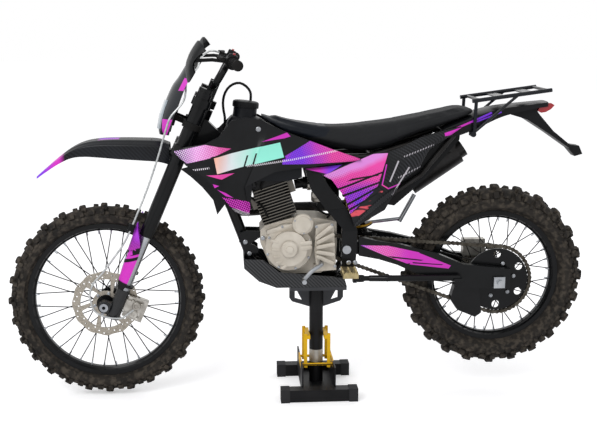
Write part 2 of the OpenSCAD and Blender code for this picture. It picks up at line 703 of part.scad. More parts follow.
exhaust_route = [[-170.7, 20, 687.6], [-186, 22, 682.7], [-207, 38, 676], [-218, 60, 664], [-212, 84, 652],
                 [-190, 106, 646], [-150, 124, 644], [-80, 142, 646], [0, 150, 650], [120, 152, 652], [220, 150, 662],
                 [310, 142, 690], [372, 131.5, 717]];
// Header pipe from the front of the barrel round the right side, and the muffler behind it.
module exhaust() {
    color("dimgray") {
        tube(smooth(exhaust_route, 2), 19, 12, [0, 0.02, 1]);
        rod([366, 132.5, 713], [420, 126, 750], 28);
        rod([410, 127, 743], [585, 118, 864], 52);
        rod([580, 118.5, 861], [606, 117, 879], 40);
        side_plate(68, 100) polygon([[548, 862], [572, 862], [572, 884], [548, 884]]);
        side_plate(68, 78) polygon([[553, 864], [572, 864], [574, 959.4], [560, 954.6]]);
    }
}
module skid_plate() {
    color("dimgray") {
        both_sides() side_plate(90, 94)
            polygon([[-204, 511], [-134, 507], [-80, 463], [152, 437], [161, skid_z], [-88, skid_z], [-150, 430],
                     [-202, 478]]);
        side_plate(-91, 91)
            polygon([[-204, 511], [-202, 478], [-150, 430], [-88, skid_z], [161, skid_z], [160, skid_z + skid_t],
                     [-87, skid_z + skid_t], [-147.5, 433.5], [-198, 480], [-200, 511]]);
    }
}
// Shift lever, brake pedal and kick lever.
module foot_controls() {
    color("silver") {
        tube(concat([[66, -cover_y - fit, 498]],
                    smooth([[66, -cover_y - 4, 498], [66, -136, 498], [34, -146, 480], [4, -146, 448]], 3)),
             7, 12, [1, 0, -1]);
        rod([4, -138, 446], [4, -176, 446], 8);
        tube(smooth([[150, casting_side + fit + 7, 520], [104, 142, 488], [-20, 152, 446], [-52, 152, 452]], 3), 7);
        rod([-52, 146, 452], [-52, 186, 452], 8);
        rod([20, 118 + fit, 560], [20, 162, 560], 11);
        rod([20, 152, 560], [396, 168, 598], 7);
        rod([388, 166, 586], [446, 176, 688], 9);
    }
}
module footrests() {
    color("gold") both_sides() {
        translate([132, 132, 470]) cube([52, 98, 16]);
        translate([142, casting_side + fit, 466]) cube([34, 20, 20]);
    }
}

// ---- bodywork ----

// Squared-off ring across the bike at x, narrowing from half width w to top_w.
function block_ring(x, low, high, w, top_w) =
    [for (k = [0:19]) let (a = k * 18 + 9, c = cos(a), s = sin(a),
        n = pow(pow(abs(c), 4) + pow(abs(s), 4), -0.25), h = (1 + s * n) / 2)
        [x, mix(w, top_w, h * h) * c * n, mix(low, high, h)]];
// Tank stations: [x, low z, high z, half width, half width at the top, top of the tunnel over the frame].
tank_rows = [[-262, 902, 962, 60, 40, 942], [-244, 850, 1002, 84, 52, 934], [-205, 800, 1010, 106, 66, 918],
             [-150, 792, 1002, 112, 70, 908], [-112, 790, 978, 112, 72, 904], [-60, 790, 950, 112, 74, 894],
             [0, 800, 922, 106, 76, 886]];
// Saddle-shaped fuel tank with its filler neck and cap.
module fuel_tank() {
    tunnel = 24 + 2;
    function outer(r) = [for (k = [-8:8]) let (a = abs(k) * 90 / 8, h = pow(cos(a), 0.6))
        [r[0], sign(k) * pow(sin(a), 0.5) * mix(r[3], r[4], h * h), mix(r[1], r[2], h)]];
    function inner(r) = [for (k = [-8:8]) let (a = abs(k) / 8)
        [r[0], sign(k) * tunnel * min(1, a / 0.625), mix(r[5], r[1], max(0, (a - 0.625) / 0.375))]];
    color("black") {
        shell([for (r = tank_rows) outer(r)], [for (r = tank_rows) inner(r)]);
        rod([-196, 0, 985], [-190, 0, 1036], 44);
        rod([-190.4, 0, 1033], [-187.5, 0, 1058], 46);
    }
}
breather_route = [[-172, 0, 1057], [-171, 0, 1072], [-173, 0, 1088], [-186, 0, 1106], [-208, 0, 1118], [-232, 0, 1114],
                  [-252, 0, 1098], [-264, 0, 1074], [-268, 0, 1048], [-266, 0, 1022], [-262, 0, 998],
                  [-264, 0, 970], [-270, 0, 964.6]];
module tank_breather() {
    color("black") tube(smooth(breather_route, 2), 4.5, 8, [0, 1, 0]);
}
// Seat stations: [x, low z, high z, half width, half width at the top].
seat_rows = [[-140, 1008, 1022, 34, 26], [-112, 990, 1014, 60, 40], [-60, 960, 994, 74, 52], [12, 934, 979, 84, 60],
             [100, 905, 968, 94, 66], [180, 886, 970, 102, 72], [236, 884, 976, 106, 76], [300, 902, 983, 108, 80],
             [390, 940, 998, 106, 84], [490, 974, 1018, 100, 82], [570, 1004, 1036, 88, 74], [606, 1018, 1040, 70, 60]];
module seat() {
    color("dimgray") skin([for (r = seat_rows) block_ring(r[0], r[1], r[2], r[3], r[4])]);
}
// Panels are ruled between an upper and a lower edge of [x, z, y] points, and bulge outwards between them.
module side_shell(top, low, bulge) {
    n = 6;
    plate([for (i = [0:len(top) - 1]) [for (k = [0:n]) let (t = k / n, p = mix(low[i], top[i], t))
            [p[0], -p[2] - bulge * sin(180 * t), p[1]]]], [0, panel_t, 0]);
}
shroud_top = [[-433, 901, 152], [-400, 915, 166], [-330, 927, 176], [-285, 948, 162], [-240, 998, 112],
              [-190, 1008, 100], [-145, 1002, 100], [-106, 982, 102], [-52, 957, 104], [16, 932, 110],
              [106, 898, 120], [200, 866, 126]];
shroud_low = [[-432, 897, 152], [-394, 854, 166], [-328, 812, 180], [-285, 761, 184], [-251, 721, 184],
              [-226, 692, 180], [-184, 680, 176], [-198, 780, 174], [-97, 829, 164], [7, 842, 152],
              [110, 850, 138], [199, 862, 126]];
// Black ducts inside the shrouds that point down behind the fork.
scoop_front = [[-413, 842, 158], [-379, 816, 160], [-341, 780, 162], [-305, 735, 160], [-292, 684, 156]];
scoop_rear = [[-350, 862, 179], [-338, 832, 179.5], [-312, 800, 181], [-282, 768, 183], [-262, 728, 181]];
module shrouds() {
    color("magenta") both_sides() {
        side_shell(shroud_top, shroud_low, 8);
        side_shell(scoop_rear, scoop_front, 2);
    }
}
panel_front_y = casting_side + fit + panel_t;
panel_top = [[8, 836, panel_front_y], [60, 838, panel_front_y], [137, 846, 122.5], [200, 865, 121.2], [240, 880, 118], [295, 888, 118],
             [340, 902, 117], [403, 934, 115], [480, 956, 108], [552, 972, 98]];
panel_low = [[8, 826, panel_front_y], [60, 816, panel_front_y + 2], [100, 796, 134], [148, 731, 138], [181, 629, 138], [285, 689, 136],
             [341, 786, 128], [406, 832, 118], [440, 892, 110], [549, 964, 98]];
// The right panel's lower edge is higher, to clear the exhaust pipe.
right_panel_low = [for (p = panel_low) [p[0], max(p[1], 728 + max(0, p[0] - 230) * 0.5), p[2]]];
module side_panels() {
    color("magenta") {
        side_shell(panel_top, panel_low, 8);
        mirror([0, 1, 0]) side_shell(panel_top, right_panel_low, 8);
    }
}
module airbox() {
    color("black") side_plate(-62, 62)
        polygon([[272, 700], [330, 690], [402, 752], [480, 832], [556, 922], [558, 950], [420, 900], [300, 864],
                 [268, 860 - fit], [240, 860 - fit], [240, 848], [262, 846]]);
}
// Tail stations: [x, low z, high z, half width].
tail_rows = [[486, 930, 964, 88], [545, 938, 990, 86], [612, 962, 1014, 80], [700, 1000, 1034, 70],
             [790, 1022, 1044, 60], [872, 1034, 1052, 48]];
// Tail shell, with the arm behind it that carries the number plate.
module rear_fender() {
    function row(r, t) = [for (k = [-8:8]) let (a = abs(k) / 8)
        [r[0], (r[3] - t) * sign(k) * min(1, a * 1.5), r[2] - t - (r[2] - r[1] - t) * pow(a, 4)]];
    color("black") {
        shell([for (r = tail_rows) row(r, 0)], [for (r = tail_rows) row(r, panel_t)]);
        side_plate(-38, 38)
            polygon([[744, 1036.5], [742, 1006], [802, 988], [884, 936], [960, 884], [968, 892], [900, 946],
                     [848, 1004], [838, 1017], [828, 1045]]);
        side_plate(-24, 24) polygon([[955, 888], [986, 854], [1014, 862], [1000, 892], [970, 896]]);
    }
}
module tail_light() {
    color("red") side_plate(-42, 42)
        polygon([[838.6, 1018], [846, 1041], [871, 1045.4], [884, 1046], [897, 1038], [884, 1024], [866, 1014],
                 [850, 1012]]);
}
rack_rear = [868, 1095];
rack_slope = 0.1331;
// Height of the rack's side tubes at x.
function rack_z(x) = rack_rear[1] - (rack_rear[0] - x) * rack_slope;
module rack() {
    side = 92;
    color("black") {
        both_sides() {
            rod([590, side, rack_z(590)], [rack_rear[0], side, rack_rear[1]], rack_r);
            rod([604, side, rack_z(604)], [600, side, 946], rack_r - 1);
            rod([602, side, 952], [752, side, rack_z(752)], rack_r - 2);
            translate([596, side - 8, 944]) rotate([-90, 0, 0]) cylinder(r = 10, h = 16);
        }
        for (x = [616, 856]) rod([x, -side, rack_z(x)], [x, side, rack_z(x)], rack_r - 1.5);
        translate([745, 0, rack_z(745) + 7.5]) rotate([0, -atan(rack_slope), 0]) difference() {
            union() for (s = [-50, 50]) translate([s - 16, -side, -10]) cube([32, 2 * side, 4]);
            for (a = [45:90:315]) rotate(a) translate([70.7, 0, -20]) cylinder(r = rack_hole_r, h = 40);
        }
    }
}

// ---- stand ----

module paddock_stand() {
    foot = stand_foot_gap / 2;
    bar_w = stand_foot_w - 4;
    color("black") {
        both_sides() translate([stand_x, foot, 0]) {
            translate([10 - stand_foot_len / 2, -bar_w / 2, 2]) cube([stand_foot_len - 20, bar_w, bar_w]);
            for (x = [-stand_foot_len / 2, stand_foot_len / 2 - 32]) translate([x, -stand_foot_w / 2, 0])
                cube([32, stand_foot_w, stand_foot_w]);
        }
        for (s = [-1, 1]) translate([stand_x + s * 58 - 2.5, 10 - foot, 22]) cube([5, 2 * foot - 20, 95]);
        translate([stand_x - 58, 10 - foot, 22]) cube([116, 2 * foot - 20, 6]);
        translate([stand_x, 0, 24]) cylinder(r = stand_column_r, h = stand_h - 30);
        translate([stand_x - 100, -95, stand_h - 12]) cube([200, 190, 12]);
        side_plate(-4, 4) difference() {
            polygon([[stand_x - 98, stand_h - 10], [stand_x + 98, stand_h - 10], [stand_x + 98, stand_h - 62],
                     [stand_x + 88, stand_h - 76], [stand_x, stand_h - 104], [stand_x - 88, stand_h - 76],
                     [stand_x - 98, stand_h - 62]]);
            for (s = [-1, 1]) polygon([[stand_x + s * 78, stand_h - 22], [stand_x + s * 78, stand_h - 64],
                                       [stand_x + s * 52, stand_h - 72]]);
        }
    }
    color("yellow") {
        for (x = [-1, 1], y = [-1, 1]) translate([stand_x + x * 42 - 6, y * 47 - 3, 92]) cube([12, 6, 128]);
        for (y = [-47, 47]) rod([stand_x - 58, y, 104], [stand_x + 58, y, 104], 5);
        for (x = [-1, 1]) translate([stand_x + x * (stand_column_r + fit + 7) - 7, -50, 200])
            cube([14, 100, 14]);
    }
}

// ---- side stand ----

// Folded leg runs straight back outside the swingarm; it swings down about a bolt that leans outwards.
module side_stand() {
    tip = [side_stand_len, 3.6, -32.2];
    color("black") stand_hinge() difference() {
        union() {
            translate([0, 0, -5]) cylinder(r = 13, h = 10);
            translate([0, -9, -5]) cube([38, 18, 10]);
            struts([[28, 0, -4], [88, 1.5, -30], tip], 11);
            translate(tip + [-24, 4, -18]) cube([36, 10, 36]);
        }
        translate([0, 0, -30]) cylinder(r = 6 + run, h = 60);
    }
}

frame();
subframe();
swingarm();
rear_axle();
shock();
engine_case();
engine_barrel();
intake();
exhaust();
skid_plate();
footrests();
foot_controls();
chain();
rear_caliper();
fuel_tank();
tank_breather();
seat();
shrouds();
side_panels();
airbox();
rear_fender();
tail_light();
rack();
paddock_stand();
side_stand();
fork_clamps();
fork_uppers();
fork_lowers();
fork_guards();
front_axle();
front_fender();
headlight_mask();
headlight();
handlebar();
hand_controls();
hand_guards();
front_caliper();
brake_hose();
front_tyre();
front_rim();
front_hub();
front_disc();
rear_tyre();
rear_rim();
rear_hub();
rear_sprocket();
rear_disc();
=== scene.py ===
# Enduro dirt bike on its paddock stand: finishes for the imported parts, and the detailed pieces that
# take the place of some of them or go on them.
import math

import bmesh
import bpy
import numpy as np
from mathutils import Matrix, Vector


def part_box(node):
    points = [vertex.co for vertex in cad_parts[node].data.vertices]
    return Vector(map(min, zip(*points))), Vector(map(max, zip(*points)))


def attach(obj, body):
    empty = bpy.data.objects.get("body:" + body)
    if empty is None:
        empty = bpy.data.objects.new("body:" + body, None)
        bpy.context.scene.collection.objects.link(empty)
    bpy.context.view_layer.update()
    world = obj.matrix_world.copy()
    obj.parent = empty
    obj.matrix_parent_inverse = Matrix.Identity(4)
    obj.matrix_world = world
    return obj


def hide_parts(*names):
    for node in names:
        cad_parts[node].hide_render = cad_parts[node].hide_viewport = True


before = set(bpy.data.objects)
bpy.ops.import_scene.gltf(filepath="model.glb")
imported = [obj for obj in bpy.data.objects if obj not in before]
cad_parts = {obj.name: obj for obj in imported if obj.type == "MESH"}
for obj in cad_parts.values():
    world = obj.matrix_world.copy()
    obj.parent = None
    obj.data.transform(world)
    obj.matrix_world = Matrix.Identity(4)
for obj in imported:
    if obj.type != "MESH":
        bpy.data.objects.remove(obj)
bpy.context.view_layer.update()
print("frame loaded")

mm = 0.001
scene = bpy.context.scene

# camera
cameraPlace = dict(at=(-0.2541, -3.5006, 1.3323), down=0.1969, turn=-0.0712, lens=60.3, sensor=36.0)
camera = bpy.data.objects.new("camera", bpy.data.cameras.new("camera"))
camera.location = cameraPlace["at"]
camera.rotation_euler = (math.pi / 2 - cameraPlace["down"], 0, cameraPlace["turn"])
camera.data.lens = cameraPlace["lens"]
camera.data.sensor_width = cameraPlace["sensor"]
camera.data.clip_end = 60
scene.collection.objects.link(camera)
scene.camera = camera


# shader maths
def tone(code):  # a written colour such as d032b4 as linear red, green, blue and 1
    parts = [int(code[i:i + 2], 16) / 255 for i in (0, 2, 4)]
    return tuple(p / 12.92 if p < 0.04045 else ((p + 0.055) / 1.055) ** 2.4 for p in parts) + (1.0,)


class Wire:  # one socket of a finish; sums, products and comparisons add Math nodes
    def __init__(self, finish, socket):
        self.finish = finish
        self.socket = socket

    def math(self, operation, *others, clamp=False):
        return self.finish.add("ShaderNodeMath", dict(operation=operation, use_clamp=clamp),
                               dict(enumerate((self,) + others)))

    def __add__(self, other):
        return self.math("ADD", other)

    def __sub__(self, other):
        return self.math("SUBTRACT", other)

    def __rsub__(self, other):
        return self.math("MULTIPLY_ADD", -1.0, other)

    def __mul__(self, other):
        return self.math("MULTIPLY", other)

    def __truediv__(self, other):
        return self.math("DIVIDE", other)

    def __abs__(self):
        return self.math("ABSOLUTE")

    __radd__ = __add__
    __rmul__ = __mul__

    def least(self, other):
        return self.math("MINIMUM", other)

    def most(self, other):
        return self.math("MAXIMUM", other)

    def sine(self, length, phase=0.0):
        return self.math("MULTIPLY_ADD", 2 * math.pi / length, phase).math("SINE")

    def above(self, edge, soft):  # 0 below edge, 1 above it, over a soft width
        return self.math("MULTIPLY_ADD", 1 / soft, 0.5 - edge / soft, clamp=True)

    def below(self, edge, soft):
        return self.math("MULTIPLY_ADD", -1 / soft, 0.5 + edge / soft, clamp=True)


class Finish:  # one material: its nodes are made by add, its surface is set by put
    def __init__(self, name, **values):
        self.material = bpy.data.materials.new(name)
        self.material.use_nodes = True
        self.tree = self.material.node_tree
        self.surface = self.tree.nodes["Principled BSDF"]
        self.place = self.add("ShaderNodeTexCoord", output="Object")
        split = self.add("ShaderNodeSeparateXYZ", inputs={0: self.place})
        self.x, self.y, self.z = (Wire(self, o) for o in split.socket.node.outputs)
        self.put(**values)

    def add(self, kind, settings=None, inputs=None, output=0):
        node = self.tree.nodes.new(kind)
        for key, value in (settings or {}).items():
            if key == "stops":
                ramp = node.color_ramp.elements
                while len(ramp) < len(value):
                    ramp.new(1.0)
                for element, (at, colour) in zip(ramp, value):
                    element.position, element.color = at, colour
            else:
                setattr(node, key, value)
        for key, value in (inputs or {}).items():
            if isinstance(value, Wire):
                self.tree.links.new(value.socket, node.inputs[key])
            else:
                node.inputs[key].default_value = value
        return Wire(self, node.outputs[output])

    def put(self, **values):
        for key, value in values.items():
            socket = self.surface.inputs[key.replace("_", " ")]
            if isinstance(value, Wire):
                self.tree.links.new(value.socket, socket)
            else:
                socket.default_value = value

    def blend(self, a, b, factor):
        return self.add("ShaderNodeMix", dict(data_type="RGBA"), {0: factor, 6: a, 7: b}, output=2)

    def noise(self, scale, detail=3.0, stretch=None):
        place = self.place
        if stretch:
            place = self.add("ShaderNodeVectorMath", dict(operation="MULTIPLY"), {0: place, 1: stretch})
        return self.add("ShaderNodeTexNoise", inputs={"Vector": place, "Scale": scale, "Detail": detail})

    def cells(self, scale):
        return self.add("ShaderNodeTexVoronoi", inputs={"Vector": self.place, "Scale": scale})

    def bump(self, height, depth):
        self.put(Normal=self.add("ShaderNodeBump", inputs={"Height": height, "Strength": 1.0,
                                                           "Distance": depth}))

    def side(self, a, b):  # distance of a point from the line a to b in x and z, positive on its left
        run = np.subtract(b, a) / math.dist(a, b)
        across = self.add("ShaderNodeVectorMath", dict(operation="DOT_PRODUCT"),
                          {0: self.place, 1: (-run[1], 0, run[0])}, output="Value")
        return across - float(run[0] * a[1] - run[1] * a[0]) * mm

    def inside(self, corners, soft=0.8):  # 1 inside a convex outline given in mm, 0 outside
        corners = np.array(corners, float)
        after = np.roll(corners, -1, 0)
        if np.sum(corners[:, 0] * after[:, 1] - after[:, 0] * corners[:, 1]) < 0:
            corners = corners[::-1]
            after = np.roll(corners, -1, 0)
        depth = None
        for a, b in zip(corners, after):
            edge = self.side(a, b)
            depth = edge if depth is None else depth.least(edge)
        return depth.above(0, soft * mm)

    def stroke(self, a, b, width, soft=0.8):  # 1 within half a width of the stretch from a to b
        a, b = np.array(a, float), np.array(b, float)
        run = (b - a) / math.dist(a, b)
        half = np.array((-run[1], run[0])) * width / 2
        return self.inside([a - half, b - half, b + half, a + half], soft)

    def dots(self, pitch, level):  # round dots on a slanted lattice; level from 0, none, to 1, all
        u, v = self.x + self.z * 0.35, self.z - self.x * 0.35
        wave = u.sine(pitch * mm) * v.sine(pitch * mm) * 0.5 + 0.5
        return (wave + level).above(1.0, 0.12)


def satin(name, colour, second, roughness, metallic=0.0, patch=9.0, grain=1500.0, depth=0.03, spread=0.12,
          **constants):  # a finish whose colour wanders to a second one, with fine grain and uneven gloss
    f = Finish(name, Metallic=metallic, **constants)
    patches = f.noise(patch, 5.0)
    f.ground = f.blend(tone(colour), tone(second), patches.above(0.52, 0.35))
    f.put(Base_Color=f.ground, Roughness=patches * spread + (roughness - spread / 2))
    f.bump(f.noise(grain, 2.0), depth * mm)
    return f


def weave(f, size):  # a two-by-two twill: 1 on the threads that run one way, and the threads' height
    u, v = (f.x + f.y) / (size * mm), (f.z + f.y) / (size * mm)
    step = u.math("FLOOR") + v.math("FLOOR")
    over = (step * 0.25).math("FRACT").above(0.45, 0.02)
    rise = ((u.math("FRACT") * math.pi).math("SINE") * over
            + (v.math("FRACT") * math.pi).math("SINE") * (1 - over))
    return over, rise


# shapes as whole arrays
def easeThrough(points, steps):
    # each stretch is half of 2*p1 + (p2-p0)*t + (2*p0-5*p1+4*p2-p3)*t*t + (3*p1-p0-3*p2+p3)*t*t*t
    p = np.asarray(points, float)
    q = np.concatenate([p[:1], p, p[-1:]])
    t = np.arange(steps).reshape(-1, *([1] * p.ndim)) / steps
    a, b, c, d = q[:-3], q[1:-2], q[2:-1], q[3:]
    run = 0.5 * (2 * b + (c - a) * t + (2 * a - 5 * b + 4 * c - d) * t ** 2
                 + (3 * b - a - 3 * c + d) * t ** 3)
    return np.concatenate([np.moveaxis(run, 0, 1).reshape(-1, *p.shape[1:]), p[-1:]])


def straightThrough(points, steps):  # the same stations joined by straight lines
    p = np.asarray(points, float)
    t = np.linspace(0, len(p) - 1, (len(p) - 1) * steps + 1)
    i = np.minimum(t.astype(int), len(p) - 2)
    t = (t - i).reshape(-1, *([1] * (p.ndim - 1)))
    return p[i] * (1 - t) + p[i + 1] * t


def quads(rows, columns, aroundRows=False, aroundColumns=True):
    # cell (i, k) joins the grid's points (i, k), (i, k+1), (i+1, k+1) and (i+1, k)
    i = np.arange(rows if aroundRows else rows - 1)[:, None]
    k = np.arange(columns if aroundColumns else columns - 1)[None, :]
    j, m = (i + 1) % rows, (k + 1) % columns
    return np.stack([i * columns + k, i * columns + m, j * columns + m, j * columns + k], -1).reshape(-1, 4)


def skin(rings, loop=False):  # closed surface through rings, capped at both ends or joined into a loop
    n, m = rings.shape[:2]
    faces = [quads(n, m, aroundRows=loop)]
    if not loop:
        faces.append(np.array([np.arange(m)[::-1], np.arange(m) + (n - 1) * m]))
    return rings.reshape(-1, 3), faces


def shell(outer, inner):  # closed wall between a grid of outer points and one of inner points
    n, m = outer.shape[:2]
    front = quads(n, m, aroundColumns=False)
    edge = np.concatenate([np.arange(m), np.arange(1, n) * m + m - 1, (n - 1) * m + np.arange(m - 1)[::-1],
                           np.arange(1, n - 1)[::-1] * m])
    after = np.roll(edge, -1)
    walls = np.stack([edge, edge + n * m, after + n * m, after], -1)
    return np.concatenate([outer.reshape(-1, 3), inner.reshape(-1, 3)]), [
        np.concatenate([front, front[:, ::-1] + n * m, walls])]


def unit(v):
    return v / np.linalg.norm(v, axis=-1, keepdims=True)


def sweep(path, profile, up=(0, 1, 0), loop=False, grow=None):
    # ring at each path point: p + u*side + v*top, where side is up x tangent and top is tangent x side
    path = np.asarray(path, float)
    if loop:
        along = np.roll(path, -1, 0) - np.roll(path, 1, 0)
    else:
        along = np.gradient(path, axis=0)
    along = unit(along)
    side = unit(np.cross(np.asarray(up, float), along))
    top = np.cross(along, side)
    size = np.ones(len(path)) if grow is None else np.asarray(grow)
    profile = np.asarray(profile, float)
    offset = profile[None, :, :1] * side[:, None] + profile[None, :, 1:] * top[:, None]
    return skin(path[:, None] + offset * size[:, None, None], loop)


def circle(radius, sides):
    a = np.arange(sides) * 2 * math.pi / sides
    return np.stack([np.cos(a), np.sin(a)], -1) * radius


def lathe(profile, sides=16):  # profile rows of radius and height, turned about +Z
    profile = np.asarray(profile, float)
    ring = circle(1.0, sides)
    rings = np.concatenate([profile[:, None, :1] * ring[None], np.repeat(profile[:, None, 1:], sides, 1)], -1)
    return skin(rings)


def block(length, width, height, foot=1.12, cut=0.22):  # four eight-cornered rings, wider at the foot
    corner = np.array([(1, 1 - cut), (1 - cut, 1), (cut - 1, 1), (-1, 1 - cut), (-1, cut - 1), (cut - 1, -1),
                       (1 - cut, -1), (1, cut - 1)])
    levels = np.array([(foot, -0.2), (1.02, 0.55), (1.0, 0.88), (0.86, 1.0)])
    rings = np.concatenate([corner[None] * levels[:, None, :1] * np.array([length, width]) / 2,
                            np.repeat(levels[:, None, 1:] * height, 8, 1)], -1)
    return skin(rings)


# copies of a shape; each frame's rows are the copy's X, Y and Z directions
def stamp(shape, origins, frames):
    points, faces = shape
    origins, frames = np.asarray(origins, float), np.asarray(frames, float)
    out = origins[:, None] + np.einsum("mi,kij->kmj", points, frames)
    shift = (np.arange(len(origins)) * len(points))[:, None, None]
    return out.reshape(-1, 3), [(f[None] + shift).reshape(-1, f.shape[1]) for f in faces]


def together(*shapes):
    points, faces, count = [], [], 0
    for p, groups in shapes:
        points.append(p)
        faces += [g + count for g in groups]
        count += len(p)
    return np.concatenate(points), faces


def mirrored(shape):  # the shape and its copy on the other side of the middle plane
    points, faces = shape
    return together(shape, (points * (1, -1, 1), faces))


def facing(directions, along=(0, 0, 1)):  # frames whose Z points along the directions
    z = unit(np.atleast_2d(np.asarray(directions, float)))
    x = np.cross(np.broadcast_to(np.asarray(along, float), z.shape), z)
    x = unit(np.where(np.linalg.norm(x, axis=1, keepdims=True) < 1e-3, (1.0, 0, 0), x))
    return np.stack([x, np.cross(z, x), z], 1)


def makePiece(name, shape, body, finish, replaces=(), crease=38):
    # points are in mm; the mesh's faces are turned outwards, and edges sharper than crease stay sharp
    points, faces = shape
    mesh = bpy.data.meshes.new(name)
    mesh.from_pydata((points * mm).tolist(), [], [f for g in faces for f in g.tolist()])
    work = bmesh.new()
    work.from_mesh(mesh)
    bmesh.ops.recalc_face_normals(work, faces=work.faces)
    work.to_mesh(mesh)
    work.free()
    mesh.polygons.foreach_set("use_smooth", np.ones(len(mesh.polygons), bool))
    mesh.set_sharp_from_angle(angle=math.radians(crease))
    mesh.materials.append(finish.material)
    piece = bpy.data.objects.new(name, mesh)
    scene.collection.objects.link(piece)
    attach(piece, body)
    if replaces:
        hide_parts(*replaces)
    return piece


def dress(finish, *nodes):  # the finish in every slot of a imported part
    for node in nodes:
        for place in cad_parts[node].material_slots:
            place.material = finish.material


def cutPlate(outlines, thickness):
    # flat plate: outlines in mm filled by a flat curve, inner ones left open, centred on z = 0
    curve = bpy.data.curves.new("plate", "CURVE")
    rounding = thickness * 0.12
    curve.dimensions, curve.fill_mode, curve.extrude = "2D", "BOTH", thickness / 2 - rounding
    curve.bevel_depth, curve.bevel_resolution, curve.offset = rounding, 0, -rounding
    for outline in outlines:
        spline = curve.splines.new("POLY")
        spline.points.add(len(outline) - 1)
        spline.use_cyclic_u = True
        flat = np.concatenate([outline, np.zeros((len(outline), 1)), np.ones((len(outline), 1))], 1)
        spline.points.foreach_set("co", flat.ravel())
    holder = bpy.data.objects.new("plate", curve)
    scene.collection.objects.link(holder)
    mesh = holder.to_mesh()
    work = bmesh.new()
    work.from_mesh(mesh)
    bmesh.ops.remove_doubles(work, verts=work.verts, dist=0.01)
    points = np.array([v.co[:] for v in work.verts])
    groups = {}
    for face in work.faces:
        groups.setdefault(len(face.verts), []).append([v.index for v in face.verts])
    work.free()
    holder.to_mesh_clear()
    bpy.data.objects.remove(holder)
    return points, [np.array(g) for g in groups.values()]


# places shared by several pieces, in mm
frontAxle, rearAxle = np.array((-690.0, 0, 353)), np.array((704.0, 0, 418))
rake = math.radians(23.4)
forkAxes = np.array([(math.cos(rake), 0, -math.sin(rake)), (0, 1, 0), (math.sin(rake), 0, math.cos(rake))])


def fromFork(points):  # fork frame to the bike's: axle + x*across + y*side + z*along the legs
    return frontAxle + np.asarray(points, float) @ forkAxes


def onWheel(centre, radius, angle, y):  # centre + radius*(cos a, sin a) in x and z, at y
    radius, angle, y = np.broadcast_arrays(radius, angle, y)
    return centre + np.stack([radius * np.cos(angle), y, radius * np.sin(angle)], -1)


# finishes
blackPaint = satin("blackPaint", "08090a", "0f1012", 0.3, depth=0.01, Coat_Weight=0.18, Coat_Roughness=0.1,
                   Specular_IOR_Level=0.12)
blackPlastic = satin("blackPlastic", "0b0c0d", "131416", 0.42, grain=2600, depth=0.05,
                     Specular_IOR_Level=0.16)
# lighter grey for the panel ribs: painted highlight standing in for light on black plastic ribs
ribPaintedHighlight = satin("ribPaintedHighlight", "2b2c2f", "3a3b3e", 0.5, grain=1800, depth=0.08, Specular_IOR_Level=0.3)
blackRubber = satin("blackRubber", "0d0d0d", "171615", 0.72, grain=1200, depth=0.08, Specular_IOR_Level=0.15)
brightMetal = satin("brightMetal", "b9bcc0", "8d9095", 0.3, 1.0, grain=900, depth=0.02)
darkSteel = satin("darkSteel", "2c2b2b", "1c1a19", 0.4, 0.7, patch=16, grain=1100, depth=0.05)
chainSteel = satin("chainSteel", "5a564e", "2f2a24", 0.4, 0.9, patch=60, grain=1500, depth=0.04)
engineAlloy = satin("engineAlloy", "cfc8bc", "b4ac9f", 0.5, 0.35, patch=14, grain=2200, depth=0.07)
pegGold = satin("pegGold", "c2b183", "8c7f5f", 0.38, 0.8, patch=40, depth=0.05)
springGold = satin("springGold", "c79a2c", "a67d1e", 0.34, 0.6, grain=1800)
caliperAlloy = satin("caliperAlloy", "c9c6bf", "908b83", 0.36, 0.8, patch=30, depth=0.05)
blueBlackPaint = satin("blueBlackPaint", "080c13", "0c1119", 0.26, depth=0.01, Coat_Weight=0.3,
                       Coat_Roughness=0.08, Specular_IOR_Level=0.15)
redLens = satin("redLens", "c01822", "8e0d16", 0.12, depth=0.004, Coat_Weight=0.8, Coat_Roughness=0.04)
clearLens = satin("clearLens", "c9d2d8", "8f9aa2", 0.08, depth=0.004, Coat_Weight=1.0, Coat_Roughness=0.03)
hoseSilver = satin("hoseSilver", "c9cbcb", "9fa2a3", 0.34, 0.35, patch=80, grain=2400, depth=0.08)

# tyre rubber with dust in patches
tyreRubber = satin("tyreRubber", "1c1a18", "2e2a26", 0.82, patch=14, grain=1400, depth=0.12,
                   Specular_IOR_Level=0.22)
dust = tyreRubber.noise(55, 5.0).above(0.56, 0.2) * 0.5
tyreRubber.put(Base_Color=tyreRubber.blend(tyreRubber.ground, tone("5c544a"), dust))

# barrel: black fins whose rims are bare metal
finBlack = satin("finBlack", "111113", "1d1c1c", 0.42, 0.4, patch=20, grain=1300, depth=0.06)
leanBarrel = math.radians(-18)
rimDepth = abs(finBlack.y).above(0.0592, 0.0008)
across = (finBlack.x + 0.072) * math.cos(leanBarrel) - (finBlack.z - 0.644) * math.sin(leanBarrel)
finRim = rimDepth.most(abs(across).above(0.0618, 0.0008))
finBlack.put(Base_Color=finBlack.blend(finBlack.ground, tone("6f6b64"), finRim),
             Metallic=finRim * 0.5 + 0.4)

# twill weave for the plate under the engine
carbonWeave = Finish("carbonWeave", Coat_Weight=0.15, Coat_Roughness=0.15, Specular_IOR_Level=0.2)
threads, threadRise = weave(carbonWeave, 3.2)
carbonWeave.put(Base_Color=carbonWeave.blend(tone("1b1c1e"), tone("47484a"), threads * threadRise),
                Roughness=threads * 0.14 + 0.3)
carbonWeave.bump(threadRise, 0.12 * mm)

# colours of the graphics
inks = dict(pink="e64aa6", magenta="cf35bd", violet="7f3ae0", lilac="d69aea", mint="93ead6", peach="f2b7a2",
            white="ece6ee", black="090a0c", red="ef5a6a")
ink = {name: tone(code) for name, code in inks.items()}


